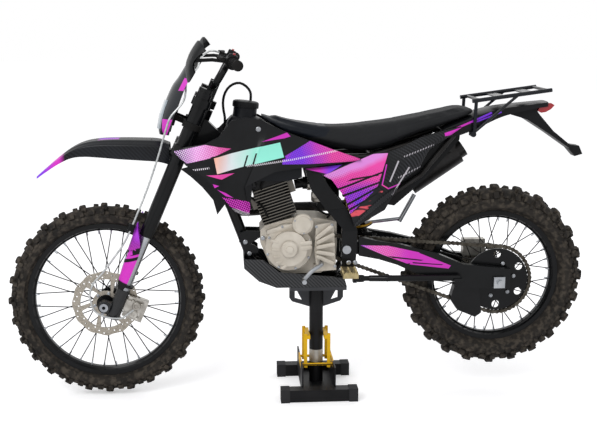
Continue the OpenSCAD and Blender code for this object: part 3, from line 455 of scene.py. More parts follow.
def printed(name, second="121316"):  # glossy film over moulded plastic, ready for its colours
    return satin(name, inks["black"], second, 0.36, grain=2400, depth=0.02, spread=0.08, Coat_Weight=0.12,
                 Coat_Roughness=0.2, Specular_IOR_Level=0.15)


def outward(f):  # 1 on faces that look away from the middle plane, 0 on the inner walls
    lean = f.add("ShaderNodeSeparateXYZ", {}, {0: f.add("ShaderNodeNewGeometry", output="Normal")},
                 output="Y")
    return (lean * f.y).above(0.0, 0.01)


def legPlace(f):  # metres along the fork legs from the axle, and across them towards the rear
    x, z = f.x - float(frontAxle[0] * mm), f.z - float(frontAxle[2] * mm)
    return x * math.sin(rake) + z * math.cos(rake), x * math.cos(rake) - z * math.sin(rake)


# shroud film: pink tip, plain mint field, violet field with halftone, slashes on the lower lobe
shroudFilm = printed("shroudFilm")
f = shroudFilm
drift = f.noise(7.0, 2.0)
tip = f.blend(ink["lilac"], ink["pink"], (f.x + drift * 0.08).above(-0.30, 0.12))
tip = f.blend(tip, ink["white"], f.dots(10, 0.4) * f.x.below(-0.30, 0.12) * 0.75)
tip = f.blend(tip, ink["black"], f.dots(9, 0.5) * f.x.below(-0.385, 0.05))
field = f.blend(ink["magenta"], ink["violet"], (f.z * -5 + f.x * 1.2 + drift * 2.2).above(-3.52, 0.35))
field = f.blend(field, ink["pink"], (f.x + drift * 0.1).above(0.10, 0.1))
field = f.blend(field, ink["black"], f.dots(9.5, 0.36) * 0.42)
plain = f.blend(ink["peach"], ink["white"], (f.x - f.z * 0.2).above(-0.445, 0.05))
plain = f.blend(plain, ink["mint"], (f.x + drift * 0.1).above(-0.15, 0.12))
shroudMarks = [
    (tip, [(-441, 900), (-329, 925), (-242, 907), (-308, 882), (-391, 862)]),
    (ink["magenta"], [(-206, 906), (-51, 956), (-37, 941), (-60, 938), (-180, 906)]),
    (field, [(-66, 936), (-51, 956), (203, 868), (167, 852), (22, 853), (-121, 848), (-69, 876)]),
    (ink["black"], [(-310, 884), (-72, 931), (-58, 872), (-300, 820)]),
    (plain, [(-300, 880), (-76, 925), (-64, 877), (-290, 827)]),
    (ink["black"], [(-190, 883), (-184, 884), (-196, 846), (-202, 845)]),
    (ink["black"], [(-160, 889), (-154, 890), (-166, 852), (-172, 851)]),
    (ink["pink"], [(-326, 823), (-232, 826), (-275, 808)]),
    (ink["magenta"], [(-305, 793), (-284, 787), (-299, 780)]),
    (ink["magenta"], [(-290, 774), (-262, 752), (-236, 744), (-262, 762)]),
]
surface = f.ground
for colour, corners in shroudMarks:
    surface = f.blend(surface, colour, f.inside(corners))
halftone = f.inside([(-276, 749), (-182, 729), (-176, 686), (-258, 720)])
surface = f.blend(surface, f.blend(ink["magenta"], ink["black"], f.dots(10, 0.45)), halftone)
ticks = (f.x + f.z * 0.3).sine(7 * mm).above(0.1, 0.4)
for a, b in (((-190, 848), (-34, 869)), ((-34, 869), (150, 900)), ((-380, 838), (-316, 848))):
    surface = f.blend(surface, ink["white"], f.stroke(a, b, 6) * ticks * 0.85)
surface = f.blend(surface, ink["white"], f.stroke((-270, 716), (-184, 686), 12) * f.dots(6, 0.3))
f.put(Base_Color=f.blend(f.ground, surface, outward(f)))

# panel film: pink and violet halftone crossed by black bars, thin lines, and a woven rear part
panelFilm = printed("panelFilm", "1f2023")
f = panelFilm
drift = f.noise(8.0, 2.0)
threads, threadRise = weave(f, 4.2)
carbon = f.blend(tone("101113"), tone("35363a"), threads * threadRise * f.noise(5.0, 2.0).above(0.46, 0.2))
main = f.blend(ink["magenta"], ink["violet"],
               (drift + f.x).above(0.70, 0.12) * (drift - f.x).above(0.22, 0.1))
main = f.blend(main, ink["pink"], (f.z + drift * 0.05).above(0.80, 0.05))
main = f.blend(main, ink["lilac"], (f.z - f.x * 0.42 + drift * 0.04).above(0.772, 0.02) * 0.7)
main = f.blend(main, ink["black"], f.dots(10, 0.36) * f.z.below(0.80, 0.08) * 0.8)
surface = f.blend(f.ground, carbon, f.x.above(0.262, 0.02))
panelMarks = [
    (f.blend(ink["magenta"], ink["violet"], f.x.above(0.075, 0.04)), [(8, 834), (137, 846), (84, 816)]),
    (main, [(73, 812), (246, 882), (296, 884), (290, 866), (266, 782), (240, 750), (164, 676), (150, 690)]),
    (ink["black"], [(119, 766), (291, 828), (291, 822), (119, 758)]),
    (ink["black"], [(170, 800), (262, 812), (262, 808), (150, 790)]),
    (ink["black"], [(137, 744), (270, 790), (268, 783), (141, 737)]),
    (ink["black"], [(150, 712), (268, 776), (266, 768), (152, 704)]),
    (ink["black"], [(158, 694), (262, 752), (256, 744), (160, 686)]),
    (ink["magenta"], [(434, 932), (554, 970), (549, 952), (497, 926), (494, 940)]),
]
for colour, corners in panelMarks:
    surface = f.blend(surface, colour, f.inside(corners))
splinters = f.inside([(165, 676), (262, 752), (280, 762), (262, 720), (175, 655)])
scratch = f.noise(30, 3.0, (0.35, 1.0, 1.6)).above(0.56, 0.06)
surface = f.blend(surface, ink["red"], splinters * scratch * 0.8)
panelLines = [((290, 846), (274, 775), 4, "magenta"), ((274, 777), (296, 763), 4, "pink"),
              ((295, 763), (407, 805), 4, "magenta"), ((331, 858), (301, 787), 5, "white"),
              ((369, 836), (309, 740), 5, "white"), ((407, 805), (470, 850), 3, "violet")]
for a, b, width, colour in panelLines:
    surface = f.blend(surface, ink[colour], f.stroke(a, b, width) * (0.55 if colour == "white" else 1.0))
ticks = (f.x - f.z * 0.4).sine(8 * mm).above(0.2, 0.5)
for a, b in (((350, 872), (455, 912)), ((330, 800), (440, 850)), ((352, 775), (395, 792))):
    surface = f.blend(surface, ink["white"], f.stroke(a, b, 5) * ticks * 0.5)
f.put(Base_Color=f.blend(f.ground, surface, outward(f)))
f.bump(threadRise * f.x.above(0.262, 0.02), 0.08 * mm)

# swingarm film: violet to magenta with halftone and two black lines, on the outer sides
armFilm = satin("armFilm", "090a0b", "101113", 0.34, depth=0.02, Coat_Weight=0.15, Coat_Roughness=0.15,
                Specular_IOR_Level=0.15)
f = armFilm
outerSide = f.y.below(-0.111, 0.0004).most(f.y.above(0.111, 0.0004))
drift = f.noise(12, 2.0)
armColour = f.blend(ink["violet"], ink["pink"], (f.x + drift * 0.1).above(0.27, 0.06))
armColour = f.blend(armColour, ink["magenta"], (f.x + drift * 0.12).above(0.38, 0.08))
armColour = f.blend(armColour, ink["lilac"], f.dots(10, 0.4) * f.x.below(0.33, 0.1) * 0.8)
surface = f.ground
for colour, corners in ((armColour, [(192, 560), (303, 556), (412, 531), (440, 505), (364, 489), (285, 524),
                                     (215, 551)]),
                        (armColour, [(400, 534), (528, 481), (520, 470), (380, 488)]),
                        (ink["black"], [(300, 520), (430, 503), (420, 500), (320, 512)]),
                        (ink["black"], [(390, 496), (500, 486), (496, 483), (392, 491)])):
    surface = f.blend(surface, colour, f.inside(corners) * outerSide)
f.put(Base_Color=surface)

# fender film: black with a twill flank, a purple stripe along the rear top and a purple tip
fenderFilm = printed("fenderFilm", "16181d")
f = fenderFilm
threads, threadRise = weave(f, 3.6)
flank = abs(f.y).above(0.036, 0.003)
surface = f.blend(f.ground, tone("2a2c31"), threads * threadRise * flank * 0.6)
stripeSpan = f.inside([(-775, 880), (-735, 940), (-440, 945), (-440, 900), (-560, 912), (-700, 905)])
purple = f.blend(ink["violet"], ink["magenta"], f.noise(10, 2.0).above(0.5, 0.3))
purple = f.blend(purple, ink["black"], f.dots(5, 0.25) * 0.5)
surface = f.blend(surface, purple, abs(f.y).below(0.026, 0.002) * stripeSpan)
tipSpan = f.x.below(-0.822, 0.02) * abs(f.y).above(0.008, 0.002)
surface = f.blend(surface, f.blend(ink["magenta"], ink["violet"], f.x.below(-0.87, 0.05)), tipSpan)
f.put(Base_Color=surface, Metallic=0.0)

# fork guard film: violet to magenta down the leg with black slashes
guardFilm = printed("guardFilm")
f = guardFilm
along, cross = legPlace(f)
shade = f.blend(ink["magenta"], ink["violet"], (along + f.noise(14, 2.0) * 0.1).above(0.34, 0.16))
shade = f.blend(shade, ink["mint"],
                cross.below(0.004, 0.006) * along.above(0.13, 0.03) * along.below(0.215, 0.02))
slash = (along - cross * 0.8)
bars = slash.above(0.172, 0.002) * slash.below(0.186, 0.002)
bars = bars.most(slash.above(0.196, 0.002) * slash.below(0.222, 0.002) * f.noise(60, 2.0).above(0.46, 0.05))
bars = bars.most(f.dots(6, 0.4) * along.above(0.23, 0.02) * along.below(0.27, 0.02))
bars = bars.most(along.below(0.112, 0.004))
f.put(Base_Color=f.blend(shade, ink["black"], bars))

# fork legs: bright sliding tubes above black axle lugs
forkLegs = satin("forkLegs", "b9bcc0", "8d9095", 0.26, 0.9, grain=900, depth=0.02)
f = forkLegs
lug = legPlace(f)[0].below(0.083, 0.001)
f.put(Base_Color=f.blend(f.ground, tone("101113"), lug), Metallic=(1 - lug) * 0.9)

# mask film: dark with magenta corners
maskFilm = satin("maskFilm", "101318", "181c22", 0.24, depth=0.01, Coat_Weight=0.3, Coat_Roughness=0.08,
                 Specular_IOR_Level=0.2)
f = maskFilm
corner = f.inside([(-500, 944), (-462, 944), (-440, 1000), (-480, 1000)])
corner = corner.most(f.inside([(-418, 1098), (-380, 1098), (-372, 1136), (-396, 1140)]))
f.put(Base_Color=f.blend(f.ground, ink["magenta"], corner * abs(f.y).above(0.045, 0.003)))

# tail film: black with one thin rising stripe on each side
tailFilm = printed("tailFilm", "121316")
f = tailFilm
stripe = f.stroke((534, 962), (665, 1016), 7).most(f.stroke((600, 982), (700, 1018), 5))
tailColour = f.blend(ink["magenta"], ink["violet"], f.x.above(0.60, 0.04))
f.put(Base_Color=f.blend(f.ground, tailColour, stripe * abs(f.y).above(0.05, 0.004)))

# paint of the stand: grey top plate, black column with a bare ring, rubber caps, yellow levers
standPaint = satin("standPaint", "0c0c0e", "151517", 0.44, patch=18, grain=1300, depth=0.05,
                   Specular_IOR_Level=0.2)
f = standPaint
offset = f.x - 0.060
topPlate = f.z.above(0.296, 0.001) * abs(offset).above(0.026, 0.001).most(f.z.above(0.392, 0.001))
surface = f.blend(f.ground, tone("3a3b3e"), topPlate)
ring = f.z.above(0.103, 0.001) * f.z.below(0.150, 0.001)
fromColumn = offset * offset + f.y * f.y
nearColumn = fromColumn.below(0.0007, 0.00004)
surface = f.blend(surface, tone("b5b2ab"), ring * nearColumn)
lever = f.z.above(0.0915, 0.0005) * f.z.below(0.2205, 0.0005) * fromColumn.above(0.00075, 0.00004)
lever = lever * abs(offset).below(0.066, 0.001) * abs(f.y).below(0.0515, 0.001)
cap = abs(offset).above(0.1055, 0.0004) * f.z.below(0.0485, 0.0005)
surface = f.blend(surface, tone("2b2b2d"), cap)
surface = f.blend(surface, tone("e0b016"), lever)
f.put(Base_Color=surface, Roughness=cap * 0.3 + 0.44, Metallic=ring * nearColumn * 0.8)

# seat cover: fine leather grain, smoother and bluer at the nose
seatCover = satin("seatCover", "18191b", "202123", 0.62, patch=5, grain=700, depth=0.0,
                  Specular_IOR_Level=0.15)
f = seatCover
nose = f.inside([(-190, 940), (-190, 1040), (55, 1000), (100, 960), (82, 938), (-31, 930)], 2.0)
f.put(Base_Color=f.blend(f.ground, tone("0e131b"), nose), Roughness=(1 - nose) * 0.2 + 0.42)
f.bump(f.cells(520) * (1 - nose) + f.noise(900, 2.0) * 0.3, 0.14 * mm)

# tank plastic: smooth and blue-black
tankPlastic = satin("tankPlastic", "0b0e13", "12151a", 0.36, patch=6, grain=2400, depth=0.03,
                    Specular_IOR_Level=0.2)

# brake discs: bare steel with a fine mottle
discSteel = satin("discSteel", "a9a297", "8a8277", 0.34, 0.9, patch=20, grain=900, depth=0.02)
f = discSteel
mottle = f.noise(420, 2.0, (1.0, 0.02, 1.0)).above(0.5, 0.3)
f.put(Base_Color=f.blend(tone("b5aea2"), tone("8d867b"), mottle))
print("finishes made")

dress(blackPaint, "frame", "side_stand", "fork_uppers", "fork_clamps", "handlebar", "front_rim", "rear_rim",
      "front_hub", "rear_hub", "rear_sprocket")
dress(armFilm, "swingarm")
dress(darkSteel, "exhaust", "subframe")
dress(blackPlastic, "airbox", "intake", "hand_guards")
dress(blackRubber, "tank_breather", "hand_controls")
dress(blueBlackPaint, "rack")
dress(brightMetal, "rear_axle", "foot_controls", "front_axle")
dress(forkLegs, "fork_lowers")
dress(caliperAlloy, "rear_caliper", "front_caliper")
dress(engineAlloy, "engine_case")
dress(finBlack, "engine_barrel")
dress(carbonWeave, "skid_plate")
dress(pegGold, "footrests")
dress(springGold, "shock")
dress(standPaint, "paddock_stand")
dress(hoseSilver, "brake_hose")
dress(redLens, "tail_light")
dress(clearLens, "headlight")
dress(chainSteel, "chain")
dress(tyreRubber, "front_tyre", "rear_tyre")
dress(seatCover, "seat")
dress(tankPlastic, "fuel_tank")
dress(shroudFilm, "shrouds")
dress(panelFilm, "side_panels")
dress(tailFilm, "rear_fender")
dress(guardFilm, "fork_guards")
dress(fenderFilm, "front_fender")
dress(maskFilm, "headlight_mask")
dress(discSteel, "front_disc", "rear_disc")


# tyres
tyreSizes = dict(
    front=dict(centre=frontAxle, outer=350, width=90, bead=266.7, knob=12.5, pitches=28, body="front_wheel"),
    rear=dict(centre=rearAxle, outer=336, width=116, bead=228.6, knob=15.5, pitches=24, body="rear_wheel"))
# per pitch: angle round the section in degrees, place in the pitch, length, width, twist in degrees
knobPlan = [(16, 0.0, 19, 17, 0), (39, 0.42, 17, 15, 12), (62, 0.05, 20, 17, 6), (63, 0.55, 15, 19, -6),
            (84, 0.30, 15, 9, 0), (84, 0.80, 11, 9, 0)]


def makeTyre(name, at):
    # carcass: a section turned about the axle; its radius about its own middle is half the width,
    # less the knobs' height on the crown
    half, middle = at["width"] / 2, at["outer"] - at["width"] / 2
    a = np.radians(np.linspace(112, -112, 57))
    drop = 3 + (at["knob"] - 3) / (1 + np.exp((np.abs(np.degrees(a)) - 76) / 3))
    crown = np.stack([middle + (half - drop) * np.cos(a), (half - drop * 0.9) * np.sin(a)], -1)
    b = np.radians(np.linspace(-100, 100, 21))
    cavity = np.stack([middle + (half - 20) * np.cos(b), (half - 20) * np.sin(b)], -1)
    bead = at["bead"]
    section = np.concatenate([[(bead + 1, 20), (bead + 13, 20.5)], crown,
                              [(bead + 13, -20.5), (bead + 1, -20), (bead + 1, -12)],
                              cavity, [(bead + 1, 12)]])
    turn = np.linspace(0, 2 * math.pi, 168, endpoint=False)
    rings = onWheel(at["centre"], section[None, :, 0], turn[:, None], section[None, :, 1])
    carcass = skin(rings, loop=True)
    knobs = []
    for angle, phase, length, width, twist in knobPlan:
        grow = at["width"] / 90
        height = at["knob"] - 1.4 - (3 if angle > 80 else 0)
        shape = block(length * grow, width * grow, height)
        for side in (1, -1):
            s = math.radians(angle) * side
            stagger = 0.5 if side < 0 and angle > 20 else 0
            phi = (np.arange(at["pitches"]) + phase + stagger) * 2 * math.pi / at["pitches"]
            base = half - (at["knob"] if angle < 70 else at["knob"] * 0.62)
            radial = onWheel(np.zeros(3), 1.0, phi, 0.0)
            around = onWheel(np.zeros(3), 1.0, phi + math.pi / 2, 0.0)
            axial = np.broadcast_to((0.0, 1.0, 0.0), radial.shape)
            out = radial * math.cos(s) + axial * math.sin(s)
            over = np.cross(out, around)
            t = math.radians(twist) * side
            frames = np.stack([around * math.cos(t) + over * math.sin(t),
                               over * math.cos(t) - around * math.sin(t), out], 1)
            origins = at["centre"] + radial * middle + out * base
            knobs.append(stamp(shape, origins, frames))
    makePiece(name + "Tyre", together(carcass, *knobs), at["body"], tyreRubber, [name + "_tyre"],
              crease=30)


for wheelName, wheelSizes in tyreSizes.items():
    makeTyre(wheelName, wheelSizes)
print("tyres made")

# brake discs, rims and sprocket details
discSizes = dict(front=dict(centre=frontAxle, outer=117.4, wave=3.6, waves=12, inner=88, hub=46, y=-62,
                            body="front_wheel"),
                 rear=dict(centre=rearAxle, outer=104.4, wave=3.0, waves=12, inner=80, hub=44, y=62,
                           body="rear_wheel"))


def makeDisc(name, at):
    # edge radius = outer - wave*(1 - cos(waves*a))/2; windows between slanting arms; rows of drilled holes
    a = np.linspace(0, 2 * math.pi, 240, endpoint=False)
    rim = circle(1, 240) * (at["outer"] - at["wave"] * (1 - np.cos(at["waves"] * a)) / 2)[:, None]
    outlines = [rim, circle(31, 48)]
    for k in range(6):
        lo, hi = np.radians(k * 60 + 6), np.radians(k * 60 + 54)
        near, far = np.linspace(lo, hi, 10), np.linspace(hi + 0.2, lo + 0.2, 14)
        outlines.append(np.concatenate([np.stack([np.cos(near), np.sin(near)], -1) * at["hub"],
                                        np.stack([np.cos(far), np.sin(far)], -1) * at["inner"]]))
    for k in range(36):
        radius = at["inner"] + (7, 15, 22)[k % 3] * (at["outer"] - at["inner"]) / 30
        angle = (k + 0.5) * math.pi / 18
        outlines.append(circle(2.9, 10) + radius * np.array((math.cos(angle), math.sin(angle))))
    points, faces = cutPlate(outlines, 3.6)
    points = at["centre"] + points[:, [0, 2, 1]] + (0, at["y"], 0)
    makePiece(name + "Disc", (points, faces), at["body"], discSteel, [name + "_disc"])


for wheelName, wheelSizes in discSizes.items():
    makeDisc(wheelName, wheelSizes)

boltShape = lathe([(6.5, -1), (6.5, 1.2), (5.2, 1.8), (5.2, 4.6), (4.4, 5.4), (2.4, 5.4), (2.2, 3.6),
                   (0.6, 3.6)], 18)
nippleShape = lathe([(3.4, -6), (3.2, 4), (2.3, 12), (1.9, 13)], 8)


def bolts(places, directions, size=1.0):
    directions = np.broadcast_to(np.asarray(directions, float), (len(places), 3))
    points, faces = boltShape
    return stamp((points * size, faces), places, facing(directions))


wheelTrim = dict(front=dict(centre=frontAxle, rim=252, body="front_wheel"),
                 rear=dict(centre=rearAxle, rim=214, body="rear_wheel"))
for wheelName, at in wheelTrim.items():  # nipples where the spokes meet the rim
    step = 2 * math.pi / 9
    k = np.arange(36)
    side = np.where(k % 4 < 2, 1, -1)
    way = np.where(k % 2 < 1, 1, -1)
    start = (k // 4 + np.where(side > 0, 0.5, 0) + np.where(way > 0, 0, 0.5)) * step
    phi = -(start + way * math.radians(55))
    radial = onWheel(np.zeros(3), 1.0, phi, 0.0)
    inwards = np.stack([k * 0.0, -side, k * 0.0], -1)
    nipples = stamp(nippleShape, at["centre"] + radial * at["rim"] + inwards * 5.0,
                    facing(-radial + inwards * 0.12, (0, 1, 0)))
    makePiece(wheelName + "Nipples", nipples, at["body"], brightMetal)

hubPhi = np.arange(6) * math.pi / 3 + 0.2
sprocketBolts = bolts(onWheel(rearAxle, 62, hubPhi, -78.2), (0, -1, 0), 1.05)
discBolts = bolts(onWheel(frontAxle, 38, hubPhi, -64), (0, -1, 0), 0.9)
makePiece("sprocketBolts", sprocketBolts, "rear_wheel", brightMetal)
makePiece("frontDiscBolts", discBolts, "front_wheel", brightMetal)
print("wheel details made")

# chain
chainPlan = dict(rear=121.4, front=33.2, drive=(84.0, 556.0), y=-70.5, link=15.875)


def chainPath(plan):
    # belt line: arcs about both sprockets joined by their common tangents, cut into equal links
    dx, dz = rearAxle[0] - plan["drive"][0], rearAxle[2] - plan["drive"][1]
    gap, tilt = math.hypot(dx, dz), math.atan2(dz, dx)
    half = math.acos((plan["front"] - plan["rear"]) / gap)
    a = tilt + np.linspace(half, 2 * math.pi - half, 200)
    b = tilt + np.linspace(-half, half, 400)
    loop = np.concatenate([np.stack([plan["drive"][0] + plan["front"] * np.cos(a),
                                     plan["drive"][1] + plan["front"] * np.sin(a)], -1),
                           np.stack([rearAxle[0] + plan["rear"] * np.cos(b),
                                     rearAxle[2] + plan["rear"] * np.sin(b)], -1)])
    loop = np.concatenate([loop, loop[:1]])
    far = np.concatenate([[0], np.cumsum(np.linalg.norm(np.diff(loop, axis=0), axis=1))])
    count = int(round(far[-1] / plan["link"] / 2)) * 2
    at = np.linspace(0, far[-1], count, endpoint=False)
    return np.stack([np.interp(at, far, loop[:, 0]), np.full(count, plan["y"]),
                     np.interp(at, far, loop[:, 1])], -1)


pins = chainPath(chainPlan)
following = np.roll(pins, -1, 0)
linkAlong = unit(following - pins)
linkAcross = np.broadcast_to((0.0, 1.0, 0.0), pins.shape)
linkUp = np.cross(linkAlong, linkAcross)
a = np.linspace(0.5 * math.pi, 1.5 * math.pi, 7)
lobe = np.stack([np.cos(a), np.sin(a)], -1) * 6.9
waist = np.array([(0.0, 4.4)])
halfLink = chainPlan["link"] / 2
outline = np.concatenate([waist, lobe - (halfLink, 0), waist * (1, -1),
                          lobe * (-1, -1) + (halfLink, 0)])


def linkPlates(inset, thick):  # the outline in the link's length and height, on both sides of the rollers
    rings = np.stack([np.stack([outline[:, 0], np.full(len(outline), y), outline[:, 1]], -1)
                      for y in (inset, inset + thick)])
    return mirrored(skin(rings))


middles = (pins + following) / 2
linkFrames = np.stack([linkAlong, linkAcross, linkUp], 1)
odd = np.arange(len(pins)) % 2 == 1
inner, outer = linkPlates(3.4, 1.7), linkPlates(5.4, 1.7)
roller = lathe([(4.6, -3.3), (4.6, 3.3)], 10)
pinHead = lathe([(2.4, -7.3), (2.4, 7.3)], 8)
rollerFrames = facing(linkAcross, (0, 0, 1))
makePiece("driveChain", together(stamp(inner, middles[odd], linkFrames[odd]),
                                 stamp(outer, middles[~odd], linkFrames[~odd]),
                                 stamp(roller, pins, rollerFrames), stamp(pinHead, pins, rollerFrames)),
          "chassis", chainSteel, ["chain"])
print("chain made")

# seat
seatPlan = dict(shrink=5.0, voxel=5.5, pressure=4.0, cap=7.0, frames=20, seamDepth=2.2)
seatStations = [(-140, 1008, 1022, 34, 26), (-112, 990, 1014, 60, 40), (-60, 960, 994, 74, 52),
                (12, 934, 979, 84, 60), (100, 905, 968, 94, 66), (180, 886, 970, 102, 72),
                (236, 884, 976, 106, 76), (300, 902, 983, 108, 80), (390, 940, 998, 106, 84),
                (490, 974, 1018, 100, 82), (570, 1004, 1036, 88, 74), (606, 1018, 1040, 70, 60)]


def blockRings(stations, around, inset):
    # half width eased to the top width by the square of the height share; corners from |c|^4 + |s|^4 = 1
    x, low, high, wide, top = (np.array(v)[:, None] for v in zip(*stations))
    a = np.linspace(0, 2 * math.pi, around, endpoint=False)[None]
    c, s = np.cos(a), np.sin(a)
    n = (c ** 4 + s ** 4) ** -0.25
    h = (1 + s * n) / 2
    y = (wide - inset + (top - wide) * h * h) * c * n
    z = low + inset + (high - low - 2 * inset) * h
    return np.stack([np.broadcast_to(x, y.shape), y, z], -1)


seatRows = easeThrough(seatStations, 6)
seatRows[0, 0] += seatPlan["shrink"]
seatRows[-1, 0] -= seatPlan["shrink"]
seatPad = makePiece("seatPad", skin(blockRings(seatRows, 72, seatPlan["shrink"] * 0.5)), "chassis",
                    seatCover, ["seat"], crease=60)


# remeshes the pad, blows it up as cloth under pressure, and caps how far each point moved
def swell(piece, plan):
    piece.parent = None
    bpy.context.view_layer.objects.active = piece
    piece.select_set(True)
    remesh = piece.modifiers.new("remesh", "REMESH")
    remesh.mode, remesh.voxel_size = "VOXEL", plan["voxel"] * mm
    bpy.ops.object.modifier_apply(modifier="remesh")
    mesh = piece.data
    rest = np.zeros(len(mesh.vertices) * 3)
    mesh.vertices.foreach_get("co", rest)
    rest = rest.reshape(-1, 3)
    cloth = piece.modifiers.new("cloth", "CLOTH")
    cloth.settings.quality = 5
    cloth.settings.use_pressure = True
    cloth.settings.uniform_pressure_force = plan["pressure"]
    cloth.settings.effector_weights.gravity = 0
    cloth.settings.tension_stiffness = cloth.settings.compression_stiffness = 20
    cloth.point_cache.frame_start, cloth.point_cache.frame_end = 1, plan["frames"]
    for now in range(1, plan["frames"] + 1):
        scene.frame_set(now)
    shaped = piece.evaluated_get(bpy.context.evaluated_depsgraph_get())
    blown = np.zeros(len(shaped.data.vertices) * 3)
    shaped.data.vertices.foreach_get("co", blown)
    blown = blown.reshape(-1, 3)
    piece.modifiers.remove(cloth)
    scene.frame_set(1)
    move = blown - rest
    far = np.linalg.norm(move, axis=1, keepdims=True)
    move *= np.minimum(1.0, plan["cap"] * mm / np.maximum(far, 1e-9))
    return rest, rest + move


seatEdge = seatRows[:, :5]
seatRest, seatShape = swell(seatPad, seatPlan)


def seatLimits(x):  # lowest and highest z and the half width at x, from the stations
    at = np.clip(x / mm, seatEdge[0, 0], seatEdge[-1, 0])
    return [np.interp(at, seatEdge[:, 0], seatEdge[:, k]) * mm for k in (1, 2, 3)]


low, high, wide = seatLimits(seatShape[:, 0])
# the pad keeps inside its own space at the sides and below; its crown may rise a few millimetres
seatShape[:, 1] = np.clip(seatShape[:, 1], -wide, wide)
seatShape[:, 2] = np.clip(seatShape[:, 2], low + 0.3 * mm, high + 3 * mm)
seatShape[:, 0] = np.clip(seatShape[:, 0], (seatStations[0][0] - 1) * mm, (seatStations[-1][0] + 1) * mm)
# seams: grooves along each flank below the top, and across the top where the nose meets the rider's part
share = (seatShape[:, 2] - low) / (high - low)
crossSeams = np.minimum(np.abs(seatShape[:, 0] - 0.075 + 0.25 * np.abs(seatShape[:, 1])),
                        np.abs(seatShape[:, 0] - 0.33))
groove = np.exp(-(np.abs(share - 0.70) / 0.045) ** 2) + np.exp(-(crossSeams / 0.0035) ** 2) * (share > 0.5)
middle = np.stack([seatShape[:, 0], seatShape[:, 1] * 0, low + (high - low) * 0.5], -1)
inward = middle - seatShape
inward /= np.maximum(np.linalg.norm(inward, axis=1, keepdims=True), 1e-9)
seatShape = seatShape + inward * np.minimum(groove, 1.0)[:, None] * seatPlan["seamDepth"] * mm
seatPad.data.vertices.foreach_set("co", seatShape.ravel())
seatPad.data.update()
seatPad.data.polygons.foreach_set("use_smooth", np.ones(len(seatPad.data.polygons), bool))
seatPad.data.materials.clear()
seatPad.data.materials.append(seatCover.material)
refine = seatPad.modifiers.new("refine", "SUBSURF")
refine.levels = refine.render_levels = 1
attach(seatPad, "chassis")
print("seat made")

# tank, shrouds and panels
tankStations = [(-262, 902, 962, 60, 40, 942), (-244, 850, 1002, 84, 52, 934),
                (-205, 800, 1010, 106, 66, 918), (-150, 792, 1002, 112, 70, 908),
                (-112, 790, 978, 112, 72, 904), (-60, 790, 950, 112, 74, 894), (0, 800, 922, 106, 76, 886)]


def saddle(stations, across=33, tunnel=26):
    # outside: half width = sin(a)^0.5, eased to the top's by h^2, at height share h = cos(a)^0.6;
    # inside: a flat roof as wide as the tunnel, then straight down to the low edge
    x, low, high, wide, top, roof = (np.array(v)[:, None] for v in zip(*stations))
    k = np.linspace(-1, 1, across)[None]
    a = np.abs(k) * math.pi / 2
    h = np.maximum(np.cos(a), 0) ** 0.6
    outer = np.stack([x + 0 * h, np.sign(k) * np.sin(a) ** 0.5 * (wide + (top - wide) * h * h),
                      low + (high - low) * h], -1)
    u = np.abs(k)
    inner = np.stack([x + 0 * h, np.sign(k) * tunnel * np.minimum(1, u / 0.625) + 0 * x,
                      roof + (low - roof) * np.maximum(0, (u - 0.625) / 0.375)], -1)
    return outer, inner


tankWall = shell(*saddle(easeThrough(tankStations, 5), 65))
neck = np.array([(-196.0, 0, 985), (-190, 0, 1036)])
capAxis = unit(np.array((2.9, 0, 25.0)))
neckShape = lathe([(46, -8), (44.5, 2), (43, 12), (41, 30), (41, 50)], 48)
neckShape = stamp(neckShape, [neck[0]], facing(neck[1] - neck[0]))
lobes = np.linspace(0, 2 * math.pi, 96, endpoint=False)
capProfile = np.array([(40, 0), (45.4, 1.5), (46, 5), (46, 17), (44, 21.5), (38, 24), (30, 24.6), (12, 24.9)])
ribbed = (capProfile[:, 1] > 3) & (capProfile[:, 1] < 20)
ripple = 1 - 0.018 * (np.cos(lobes * 24) > 0)[None] * ribbed[:, None]
capRings = np.stack([capProfile[:, :1] * np.cos(lobes) * ripple, capProfile[:, :1] * np.sin(lobes) * ripple,
                     np.repeat(capProfile[:, 1:], 96, 1)], -1)
capShape = stamp(skin(capRings), [(-190.4, 0, 1033)], facing(capAxis))
makePiece("tankBody", together(tankWall, neckShape), "chassis", tankPlastic, ["fuel_tank"],
          crease=50)
makePiece("fillerCap", capShape, "chassis", blackPlastic)

shroudTop = [(-433, 901, 152), (-400, 915, 166), (-330, 927, 176), (-285, 948, 162), (-240, 998, 112),
             (-190, 1008, 100), (-145, 1002, 100), (-106, 982, 102), (-52, 957, 104), (16, 932, 110),
             (106, 898, 120), (200, 866, 126)]
shroudLow = [(-432, 897, 152), (-394, 854, 166), (-328, 812, 180), (-285, 761, 184), (-251, 721, 184),
             (-226, 692, 180), (-184, 680, 176), (-198, 780, 174), (-97, 829, 164), (7, 842, 152),
             (110, 850, 138), (199, 862, 126)]
scoopFront = [(-413, 842, 158), (-379, 816, 160), (-341, 780, 162), (-305, 735, 160), (-292, 684, 156)]
scoopRear = [(-350, 862, 179), (-338, 832, 179.5), (-312, 800, 181), (-282, 768, 183), (-262, 728, 181)]


def ruled(top, low, bulge, wall=4.0, steps=6, across=25):
    # point = low + (top - low)*t, pushed out by bulge*sin(pi*t); the inner face is one wall further in
    top, low = straightThrough(top, steps), straightThrough(low, steps)
    t = np.linspace(0, 1, across)[None, :, None]
    p = low[:, None] * (1 - t) + top[:, None] * t
    y = -p[..., 2] - bulge * np.sin(math.pi * t[..., 0])
    outer = np.stack([p[..., 0], y, p[..., 1]], -1)
    return outer, outer + (0, wall, 0)


